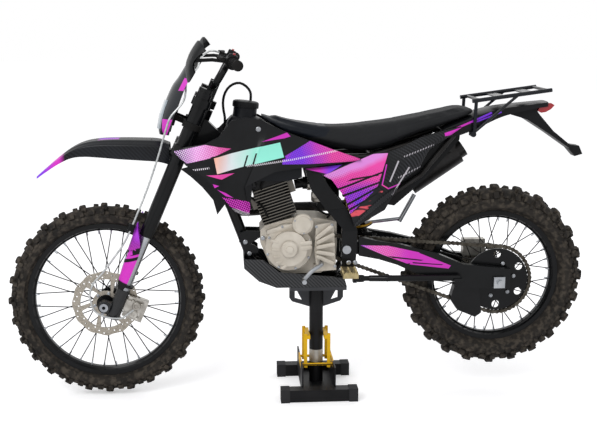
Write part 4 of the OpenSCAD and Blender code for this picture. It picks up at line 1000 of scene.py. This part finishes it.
makePiece("shroudPanels", mirrored(shell(*ruled(shroudTop, shroudLow, 8))), "chassis", shroudFilm,
          ["shrouds"], crease=50)
makePiece("shroudDucts", mirrored(shell(*ruled(scoopRear, scoopFront, 2))), "chassis", blackPlastic)
castingSide, fit, wall = 120.0, 0.3, 4.0
panelFront = castingSide + fit + wall
panelTop = [(8, 836, panelFront), (60, 838, panelFront), (137, 846, 122.5), (200, 865, 121.2),
            (240, 880, 118), (295, 888, 118), (340, 902, 117), (403, 934, 115), (480, 956, 108),
            (552, 972, 98)]
panelLow = [(8, 826, panelFront), (60, 816, panelFront + 2), (100, 796, 134), (148, 731, 138),
            (181, 629, 138), (285, 689, 136), (341, 786, 128), (406, 832, 118), (440, 892, 110),
            (549, 964, 98)]
rightLow = [(x, max(z, 728 + max(0, x - 230) * 0.5), y) for x, z, y in panelLow]
leftPanel = shell(*ruled(panelTop, panelLow, 8))
points, faces = shell(*ruled(panelTop, rightLow, 8))
makePiece("sidePanels", together(leftPanel, (points * (1, -1, 1), faces)), "chassis", panelFilm,
          ["side_panels"], crease=50)
print("tank and panels made")

# tail, fenders, mask, guards
tailStations = [(486, 930, 964, 88), (545, 938, 990, 86), (612, 962, 1014, 80), (700, 1000, 1034, 70),
                (790, 1022, 1044, 60), (872, 1034, 1052, 48)]


def tailGrid(thick, across=41):
    # z = top - wall - (top - low - wall)*a^4; the half width is reached at two thirds of the row
    x, low, high, wide = (np.array(v)[:, None] for v in zip(*easeThrough(tailStations, 6)))
    k = np.linspace(-1, 1, across)[None]
    a = np.abs(k)
    return np.stack([x + 0 * k, (wide - thick) * np.sign(k) * np.minimum(1, a * 1.5),
                     high - thick - (high - low - thick) * a ** 4], -1)


plateArm = [(744, 1036.5), (742, 1006), (802, 988), (884, 936), (960, 884), (968, 892), (900, 946),
            (848, 1004), (838, 1017), (828, 1045)]
plateTip = [(955, 888), (986, 854), (1014, 862), (1000, 892), (970, 896)]


def slab(outline, *sections):  # outline in x and z, scaled by s about its middle at each depth y
    outline = np.asarray(outline, float)
    middle = outline.mean(0)
    return skin(np.stack([np.insert(middle + (outline - middle) * s, 1, y, axis=1) for s, y in sections]))


def plate(outline, half):  # slab that is drawn in a little at both faces
    return slab(outline, (0.96, -half), (1.0, -half * 0.92), (1.0, half * 0.92), (0.96, half))


makePiece("tailShell", shell(tailGrid(0), tailGrid(4)), "chassis", tailFilm,
          ["rear_fender"], crease=45)
makePiece("plateArm", together(plate(plateArm, 38), plate(plateTip, 24)), "chassis", blackPlastic,
          crease=30)

fenderLine = [(-917, 799), (-880, 832), (-835, 870), (-790, 902), (-745, 922), (-690, 931), (-620, 933),
              (-550, 932), (-495, 929), (-455, 916)]
fenderWide = [10, 30, 44, 52, 60, 64, 66, 66, 64, 58]
fenderDrop = [8, 14, 22, 32, 46, 58, 66, 70, 72, 70]


def fenderGrid(thick, across=49):
    # half width reached at 1/1.55 of the row; drop*a^3 below the spine, with a low ridge on each side
    rows = easeThrough([(x, z, w, d) for (x, z), w, d in zip(fenderLine, fenderWide, fenderDrop)], 6)
    x, z, w, d = (rows[:, k:k + 1] - (thick if k > 1 else 0) for k in range(4))
    k = np.linspace(-1, 1, across)[None]
    a = np.abs(k)
    ridge = 3.0 * np.exp(-((a - 0.42) / 0.05) ** 2) - 2.5 * np.exp(-(a / 0.12) ** 2)
    rise = np.clip((x + 900) / 120, 0, 1)
    return np.stack([x + 0 * k, w * np.sign(k) * np.minimum(1, a * 1.55),
                     z - thick - d * a ** 3 + ridge * rise - 3 * rise], -1)


makePiece("frontFender", shell(fenderGrid(0), fenderGrid(4)), "steering", fenderFilm,
          ["front_fender"], crease=45)
boxFaces = [np.array([(0, 1, 3, 2), (4, 6, 7, 5), (0, 4, 5, 1), (2, 3, 7, 6), (0, 2, 6, 4), (1, 5, 7, 3)])]


def forkBox(low, high):  # a box between two corners given in the fork's frame
    corners = np.array([(x, y, z) for x in (low[0], high[0]) for y in (low[1], high[1])
                        for z in (low[2], high[2])], float)
    return fromFork(corners), boxFaces


fenderStay = together(forkBox((-70, -25, 567.7), (-40, 25, 596.7)),
                      forkBox((-60, -25, 567.7), (74, 25, 587.7)))
makePiece("fenderStay", fenderStay, "steering", blackPlastic)

maskRows = np.array([(944, -490, 58, 36), (965, -492, 72, 44), (1016, -482, 92, 50), (1064, -464, 98, 50),
                     (1112, -441, 90, 48), (1140, -420, 80, 44), (1178, -396, 62, 34)], float)


def maskGrid(thick, across=41):
    # x = front + depth*|u|^2.4, y = half width*u
    z, x, w, d = (easeThrough(maskRows, 6)[:, k:k + 1] for k in range(4))
    u = np.linspace(-1, 1, across)[None]
    return np.stack([x + thick + (d - thick) * np.abs(u) ** 2.4, (w - thick) * u, z + 0 * u], -1)


makePiece("headlightMask", shell(maskGrid(0), maskGrid(4)), "steering", maskFilm,
          ["headlight_mask"], crease=50)
lampBowl = lathe([(34, -40), (50, 0), (46, 0.5), (44, -6), (30, -34), (4, -36)], 40)
makePiece("lampBowl", stamp((lampBowl[0] * (1, 1, -1), lampBowl[1]), [(-468, 0, 1016)],
                            facing((math.sin(math.radians(106)), 0, math.cos(math.radians(106))))),
          "steering", blackPlastic)
maskBands = lathe([(26, 0), (32, 0.5), (32, 21.5), (26, 22), (25.2, 21), (25.2, 1)], 40)
bandPlaces = fromFork([(40, 98, 690), (40, -98, 690)])
bandFrames = np.repeat(forkAxes[None], 2, 0)
maskArms = together(mirrored(forkBox((-58, 40, 692), (22, 50, 710))),
                    mirrored(forkBox((8, 40, 692), (20, 78, 710))))
makePiece("maskBrackets", together(maskArms, stamp(maskBands, bandPlaces, bandFrames)), "steering",
          blackRubber)

guardHeights = np.array([84, 110, 180, 240, 285, 322], float)
guardRadii = np.array([27, 31, 38, 42, 44, 45], float)
guardSpread = np.array([85, 95, 95, 90, 60, 12], float)


def guardGrid(wall, across=33):
    # arc about the leg: radius and spread ease with height; angle = 180 degrees + spread*u
    rows = easeThrough(np.stack([guardHeights, guardRadii, guardSpread], -1), 6)
    u = np.linspace(-1, 1, across)[None]
    a = math.pi + np.radians(rows[:, 2:3]) * u
    r = rows[:, 1:2] - wall
    return fromFork(np.stack([40 + r * np.cos(a), 98 + r * np.sin(a), rows[:, :1] + 0 * u], -1))


guardCollar = lathe([(20, 0), (28.5, 0.5), (28.5, 7.5), (20, 8)], 40)
makePiece("forkGuards", mirrored(shell(guardGrid(0), guardGrid(3))), "steering", guardFilm,
          ["fork_guards"], crease=50)
makePiece("guardCollars", stamp(guardCollar, fromFork([(40, 98, 96), (40, -98, 96)]), bandFrames),
          "steering", blackPlastic)

shieldSides = [180, 215, 260, 310, 355, 392, 408]
shieldTops = [1218, 1242, 1258, 1268, 1270, 1258, 1240]
shieldLows = [1196, 1176, 1154, 1143, 1142, 1156, 1176]
shieldFronts = [-368, -374, -378, -378, -374, -364, -352]


def shieldGrid(thick, across=25):
    # x = front + 34*t^2 - 10*sin(pi*t), z from the low edge to the top edge
    rows = easeThrough(np.stack([shieldSides, shieldTops, shieldLows, shieldFronts], -1).astype(float), 6)
    y, top, low, front = (rows[:, k:k + 1] for k in range(4))
    y = np.minimum(y, 408)
    t = np.linspace(0, 1, across)[None]
    crease = 1.5 * np.exp(-((t - 0.62) / 0.05) ** 2)
    return np.stack([front + 34 * t * t - 10 * np.sin(math.pi * t) + thick + crease, -y + 0 * t,
                     np.minimum(low + (top - low) * t, 1269.9)], -1)


handShields = mirrored(shell(shieldGrid(0), shieldGrid(4)))
makePiece("handShields", handShields, "steering", blackPlastic, crease=50)
print("fenders and guards made")

# engine details
ribShape = block(1, 1, 1, foot=1.05, cut=0.3)


def bars(starts, ends, width, height, out=(0, -1, 0)):
    # rounded bar from each start to each end, standing out along one direction
    starts, ends = np.asarray(starts, float), np.asarray(ends, float)
    out = np.broadcast_to(np.asarray(out, float), starts.shape)
    along = ends - starts
    over = unit(np.cross(out, along)) * width
    return stamp(ribShape, (starts + ends) / 2, np.stack([along, over, out * height], 1))


coverRibs = bars([(-108, -111, 582), (-104, -111, 549), (-100, -111, 522), (-91, -111, 500),
                  (-72, -111, 480)],
                 [(-82, -111, 574), (-78, -111, 545), (-76, -111, 524), (-68, -111, 508), (-54, -111, 492)],
                 9, 3.5)
fanStarts = np.array([(48, -113.2, 586), (50, -113.2, 570), (50, -113.2, 554), (50, -113.2, 539),
                      (50, -113.2, 524)])
fanEnds = np.array([(105, -113.2, 632), (112, -113.2, 602), (114, -113.2, 566), (114, -113.2, 528),
                    (112, -113.2, 496)])
sprocketCoverRibs = bars(fanStarts, fanEnds, 13, 5)
boss = lathe([(30, 0), (30, 3), (26, 7), (14, 8.5), (13, 12), (9, 13)], 40)
starterCap = lathe([(37, -6), (37, 6), (34, 9), (29, 10), (28, 12), (12, 13)], 48)
flange = lathe([(82, -3), (84, 0), (84, 6), (81, 9), (70, 9.5)], 72)
coverFace = lathe([(62, -2), (61.5, 5), (58, 9), (40, 10.5), (24, 10.8)], 64)
rounds = together(stamp(boss, [(-44, -118, 550)], facing((0, -1, 0))),
                  stamp(starterCap, [(4, -100, 636)], facing((0, -1, 0))),
                  stamp(flange, [(-44, -80, 550)], facing((0, -1, 0))),
                  stamp(coverFace, [(-44, -103, 550)], facing((0, -1, 0))))
sideBlock = together(bars([(-6, -108, 566), (-6, -108, 550)], [(34, -108, 572), (34, -108, 556)], 15, 6),
                     bars([(-120, -84, 606)], [(30, -84, 640)], 18, 7))
makePiece("engineCovers", together(rounds, coverRibs, sprocketCoverRibs, sideBlock), "chassis", engineAlloy,
          crease=32)
clutchCover = lathe([(80, -4), (78, 3), (66, 7), (30, 8), (12, 8.4)], 64)
makePiece("clutchCover", stamp(clutchCover, [(-40, 117, 545)], facing((0, 1, 0))), "chassis", engineAlloy)

ring = np.linspace(0, 2 * math.pi, 9)[:-1] + 0.3
coverBolts = np.stack([-44 + 78 * np.cos(ring), np.full(8, -89.0), 550 + 78 * np.sin(ring)], -1)
capBolts = np.array([(4 + 31 * math.cos(t), -108, 636 + 31 * math.sin(t)) for t in (0.6, 2.7, 4.8)])
edgeBolts = np.array([(50, -114, 628), (104, -114, 634), (116, -114, 486), (54, -114, 482)])
makePiece("engineBolts", together(bolts(coverBolts, (0, -1, 0), 0.75), bolts(capBolts, (0, -1, 0), 0.6),
                                  bolts(edgeBolts, (0, -1, 0), 0.8)), "chassis", brightMetal)
frameBolts = np.array([(154, -120, 555), (163, -120, 500), (186, -120, 500), (-196, -40, 561),
                       (-182, -40, 519), (-134, -60, 579)])
rightBolts = np.array([(154, 120, 555), (163, 120, 500), (186, 120, 500)])
makePiece("frameBolts", together(bolts(frameBolts, (0, -1, 0), 1.25), bolts(rightBolts, (0, 1, 0), 1.25)),
          "chassis", brightMetal)
coverBoltsTop = np.array([(-149, -113.5, 969), (-149, 113.5, 969)])
makePiece("shroudBolts", bolts(coverBoltsTop, [(0, -1, 0), (0, 1, 0)], 1.3), "chassis", brightMetal)

# sleeves on the frame castings
sleeve = [(139, 612), (139, 622), (86, 686), (150, 694), (160, 686), (193, 614)]
sleeveShape = slab(sleeve, (0.94, -122.5), (1.0, -122.0), (1.0, -119.0))
makePiece("castingSleeves", mirrored(sleeveShape), "chassis", blackPlastic, crease=30)

# panel ribs along the lower border, in a lighter grey that is painted highlight on ribs of black plastic
count = 22
t = np.linspace(0, 1, count)[:, None]
lowEdge = np.array([(182, -139.5, 636)]) * (1 - t) + np.array([(322, -137, 752)]) * t
highEdge = lowEdge + (14, -3.5, 34) * np.sin(0.35 + t * 2.3)
panelRibs = bars(lowEdge, highEdge, 2.2, 2.2)
makePiece("panelRibs", panelRibs, "chassis", ribPaintedHighlight)

# damper spring: circle swept along a helix about the line from its top to its foot
springPlan = dict(top=(150.0, 0, 830.0), foot=(240.0, 0, 575.0), radius=31.0, wire=5.2, turns=9)
springTop, springFoot = np.array(springPlan["top"]), np.array(springPlan["foot"])
springAxis = unit(springFoot - springTop)
begin, finish = springTop + springAxis * 58, springFoot - springAxis * 34
spin = np.linspace(0, springPlan["turns"] * 2 * math.pi, springPlan["turns"] * 24 + 1)
across = unit(np.cross(springAxis, (0, 1, 0)))
coil = begin + (finish - begin) * (spin / spin[-1])[:, None] + springPlan["radius"] * (
    np.cos(spin)[:, None] * across + np.sin(spin)[:, None] * np.array((0, 1.0, 0)))
seatDisc = lathe([(12, -3), (36, -2.5), (36, 2.5), (12, 3)], 36)
damper = lathe([(12, -60), (22, -58), (22, 70), (12, 74)], 32)
makePiece("shockSpring", sweep(coil, circle(springPlan["wire"], 10), up=springAxis), "chassis", springGold,
          ["shock"])
eyelet = lathe([(9, -20), (16, -19), (16, 19), (9, 20)], 28)
makePiece("shockBody", together(stamp(damper, [(springTop + springFoot) / 2], facing(springAxis)),
                                stamp(seatDisc, [begin, finish], facing([springAxis, springAxis])),
                                stamp(eyelet, [springTop, springFoot], facing([(0, 1, 0), (0, 1, 0)])),
                                sweep(np.linspace(springTop, springFoot, 4), circle(10, 20))),
          "chassis", blackPaint)
print("engine details made")

# small parts
teeth = block(4.5, 3.6, 4.5, foot=1.5, cut=0.4)
tx = np.linspace(135, 181, 8)
ty = np.linspace(138, 226, 13)
toothPlaces = np.concatenate([np.stack([np.repeat(tx[[0, -1]], 13), np.tile(ty, 2), np.full(26, 486.4)], -1),
                              np.stack([tx, np.full(8, 226.0), np.full(8, 486.4)], -1),
                              np.stack([np.full(11, 158.0), ty[1:-1], np.full(11, 486.4)], -1)])
toothFrames = np.repeat(np.eye(3)[None], len(toothPlaces), 0)
makePiece("pegTeeth", mirrored(stamp(teeth, toothPlaces, toothFrames)), "chassis", pegGold)

gripRib = lathe([(15.6, -1.1), (16.9, -0.6), (16.9, 0.6), (15.6, 1.1)], 32)
barInner, barOuter = np.array((74.0, 200, 954)), np.array((98.0, 398, 959))
barWay = unit(barOuter - barInner)
ribAt = np.linspace(78, 196, 22)[:, None]
gripPlaces = fromFork(barInner + barWay * ribAt)
gripRibs = stamp(gripRib, gripPlaces, facing(np.repeat((barWay @ forkAxes)[None], 22, 0)))
endCap = stamp(lathe([(14, -1), (17, 0), (17, 3), (14, 5), (6, 5.4)], 32),
               fromFork([barOuter + barWay * -1.0]), facing([barWay @ forkAxes]))
makePiece("gripRibs", mirrored(together(gripRibs, endCap)), "steering", blackRubber)
switchBox = block(30, 34, 24, foot=1.0, cut=0.25)
switchPlaces = fromFork([barInner + barWay * 44 + (-2, 0, 2)])
redKey = block(8, 10, 5, foot=1.0, cut=0.3)
makePiece("switchHousings", mirrored(stamp(switchBox, switchPlaces, forkAxes[None])), "steering",
          blackPlastic)
makePiece("switchKeys", mirrored(stamp(redKey, switchPlaces + forkAxes[2] * 24, forkAxes[None])), "steering",
          redLens)
clipShape = block(20, 22, 20, foot=1.0, cut=0.3)
hoseClip = stamp(clipShape, [(-584, -123, 645)], facing(unit(np.array((-38.0, -12, -110))))[:1])
makePiece("hoseClip", hoseClip, "steering", blackPlastic)
print("small parts made")

# engine bay
barrelFrame = np.array(Matrix.Rotation(leanBarrel, 3, "Y")).T
barrelFoot = np.array((-72.0, 0, 644))


def onBarrel(points):  # the barrel's own frame to the bike's
    return barrelFoot + np.asarray(points, float) @ barrelFrame


headShape = block(112, 104, 26, foot=1.08, cut=0.3)
headCover = stamp(headShape, onBarrel([(0, 0, 134)]), barrelFrame[None])
valveCaps = stamp(lathe([(20, -4), (20, 10), (17, 13), (6, 14)], 6),
                  onBarrel([(-44, -34, 142), (44, -34, 142)]),
                  facing(np.repeat(barrelFrame[2:], 2, 0)))
plugLead = easeThrough([(-128, -44, 735), (-140, -62, 762), (-120, -72, 800), (-70, -70, 818),
                        (-20, -60, 812)], 10)
makePiece("headCover", together(headCover, valveCaps), "chassis", finBlack)
makePiece("plugLead", sweep(plugLead, circle(4.2, 12)), "chassis", blackRubber)
bowl = lathe([(24, 0), (27, 3), (27, 30), (24, 34), (24, 44), (30, 46), (30, 62), (24, 66)], 32)
throat = lathe([(21, -34), (26, -32), (26, -22), (22, -18), (22, 18), (26, 22), (26, 30), (22, 34)], 32)
sideCap = lathe([(15, 0), (15, 8), (12, 12), (4, 13)], 20)
carb = together(stamp(bowl, [(66, -8, 700)], np.eye(3)[None]),
                stamp(throat, [(58, -4, 765)], facing((1, 0, 0))),
                stamp(sideCap, [(66, -34, 752), (52, -34, 728)], facing([(0, -1, 0), (0, -1, 0)])))
makePiece("carburettor", carb, "chassis", caliperAlloy)
hoses = [[(30, -40, 700), (44, -56, 690), (70, -58, 672), (96, -50, 660), (116, -48, 676)],
         [(-16, -58, 790), (10, -66, 776), (40, -60, 770), (58, -52, 752)],
         [(92, -36, 724), (106, -52, 712), (112, -58, 690), (104, -60, 664), (92, -56, 648)],
         [(-176, -26, 720), (-150, -60, 706), (-132, -78, 690), (-118, -84, 660)]]
bayHoses = [sweep(easeThrough(h, 8), circle(4.0, 10), up=(0.2, 1, 0.1)) for h in hoses]
makePiece("bayHoses", together(*bayHoses), "chassis", blackRubber)
batteryBox = together(stamp(block(128, 64, 92, foot=1.0, cut=0.12), [(196, -22, 776)], np.eye(3)[None]),
                      stamp(block(76, 56, 70, foot=1.0, cut=0.15), [(100, 6, 690)], np.eye(3)[None]))
makePiece("electricsBox", batteryBox, "chassis", blackPlastic)
print("engine bay made")

# caliper faces: two piston bosses between four bolts, on the side away from the wheel
caliperPlan = dict(apart=30, boss=15, high=6, boltApart=27, boltSide=17, bolt=4.5)
pistonBoss = lathe([(caliperPlan["boss"], -1), (caliperPlan["boss"], caliperPlan["high"] - 2),
                    (caliperPlan["boss"] - 2, caliperPlan["high"]), (7, caliperPlan["high"]),
                    (6, caliperPlan["high"] - 2)], 28)
caliperBolt = lathe([(caliperPlan["bolt"], -1), (caliperPlan["bolt"], 3.2), (caliperPlan["bolt"] - 1, 4),
                     (2, 4)], 12)


def caliperFace(node, side, tilt):  # middle of the node's outer face, plus steps along and across its lean
    low, high = (1000 * np.array(corner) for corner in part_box(node))
    middle = (low + high) / 2
    middle[1] = low[1] if side < 0 else high[1]
    along = np.array((math.sin(tilt), 0, math.cos(tilt)))
    across = np.array((math.cos(tilt), 0, -math.sin(tilt)))
    bosses = middle + np.outer((-0.5, 0.5), along * caliperPlan["apart"])
    corners = np.array([(-1, -1), (-1, 1), (1, -1), (1, 1)], float)
    lengthwise, sideways = along * caliperPlan["boltApart"], across * caliperPlan["boltSide"]
    heads = middle + corners[:, :1] * lengthwise + corners[:, 1:] * sideways
    return together(stamp(pistonBoss, bosses, facing(np.tile((0, side, 0), (2, 1)))),
                    stamp(caliperBolt, heads, facing(np.tile((0, side, 0), (4, 1)))))


makePiece("frontCaliperFace", caliperFace("front_caliper", -1, rake), "steering", caliperAlloy)
makePiece("rearCaliperFace", caliperFace("rear_caliper", 1, 0.0), "chassis", caliperAlloy)
print("calipers dressed")

# floor and light
studio = dict(floor="f4f4f6", world=0.72, key=95.0, fill=35.0, lift=0.36)
floorMesh = bpy.data.meshes.new("floor")
floorMesh.from_pydata([(-30, -30, 0), (30, -30, 0), (30, 30, 0), (-30, 30, 0)], [], [(0, 1, 2, 3)])
floorFinish = Finish("floor", Base_Color=tone(studio["floor"]), Roughness=0.9, Specular_IOR_Level=0.1,
                     Emission_Strength=1.0)
looked = floorFinish.add("ShaderNodeLightPath")
floorFinish.put(Emission_Color=floorFinish.blend((0, 0, 0, 1), (studio["lift"],) * 3 + (1,), looked))
floorMesh.materials.append(floorFinish.material)
floor = bpy.data.objects.new("floor", floorMesh)
scene.collection.objects.link(floor)

world = bpy.data.worlds.new("studio")
scene.world = world
world.use_nodes = True
sky = world.node_tree
paths = sky.nodes.new("ShaderNodeLightPath")
direct = paths.outputs["Is Camera Ray"]
for ray in ("Is Glossy Ray", "Is Transmission Ray"):
    seen = sky.nodes.new("ShaderNodeMath")
    seen.operation = "MAXIMUM"
    sky.links.new(direct, seen.inputs[0])
    sky.links.new(paths.outputs[ray], seen.inputs[1])
    direct = seen.outputs[0]
strength = sky.nodes.new("ShaderNodeMapRange")
sky.links.new(direct, strength.inputs["Value"])
strength.inputs["To Min"].default_value = studio["world"]
strength.inputs["To Max"].default_value = 1.0
sky.nodes["Background"].inputs["Color"].default_value = (1, 1, 1, 1)
sky.links.new(strength.outputs[0], sky.nodes["Background"].inputs["Strength"])


def softLamp(name, at, towards, size, power):
    lamp = bpy.data.objects.new(name, bpy.data.lights.new(name, "AREA"))
    lamp.data.shape, lamp.data.size, lamp.data.energy = "SQUARE", size, power
    at, towards = np.array(at, float), np.array(towards, float)
    z = unit(at - towards)
    x = unit(np.cross((0, 0, 1), z))
    lamp.matrix_world = Matrix(np.vstack([np.column_stack([x, np.cross(z, x), z, at]),
                                          [0, 0, 0, 1]]).tolist())
    scene.collection.objects.link(lamp)


softLamp("keyLamp", (-2.2, -3.0, 3.6), (0, 0, 0.5), 2.4, studio["key"])
softLamp("fillLamp", (2.6, 2.4, 3.2), (0, 0, 0.5), 2.2, studio["fill"])

scene.view_settings.view_transform = "Standard"
print("studio lit")
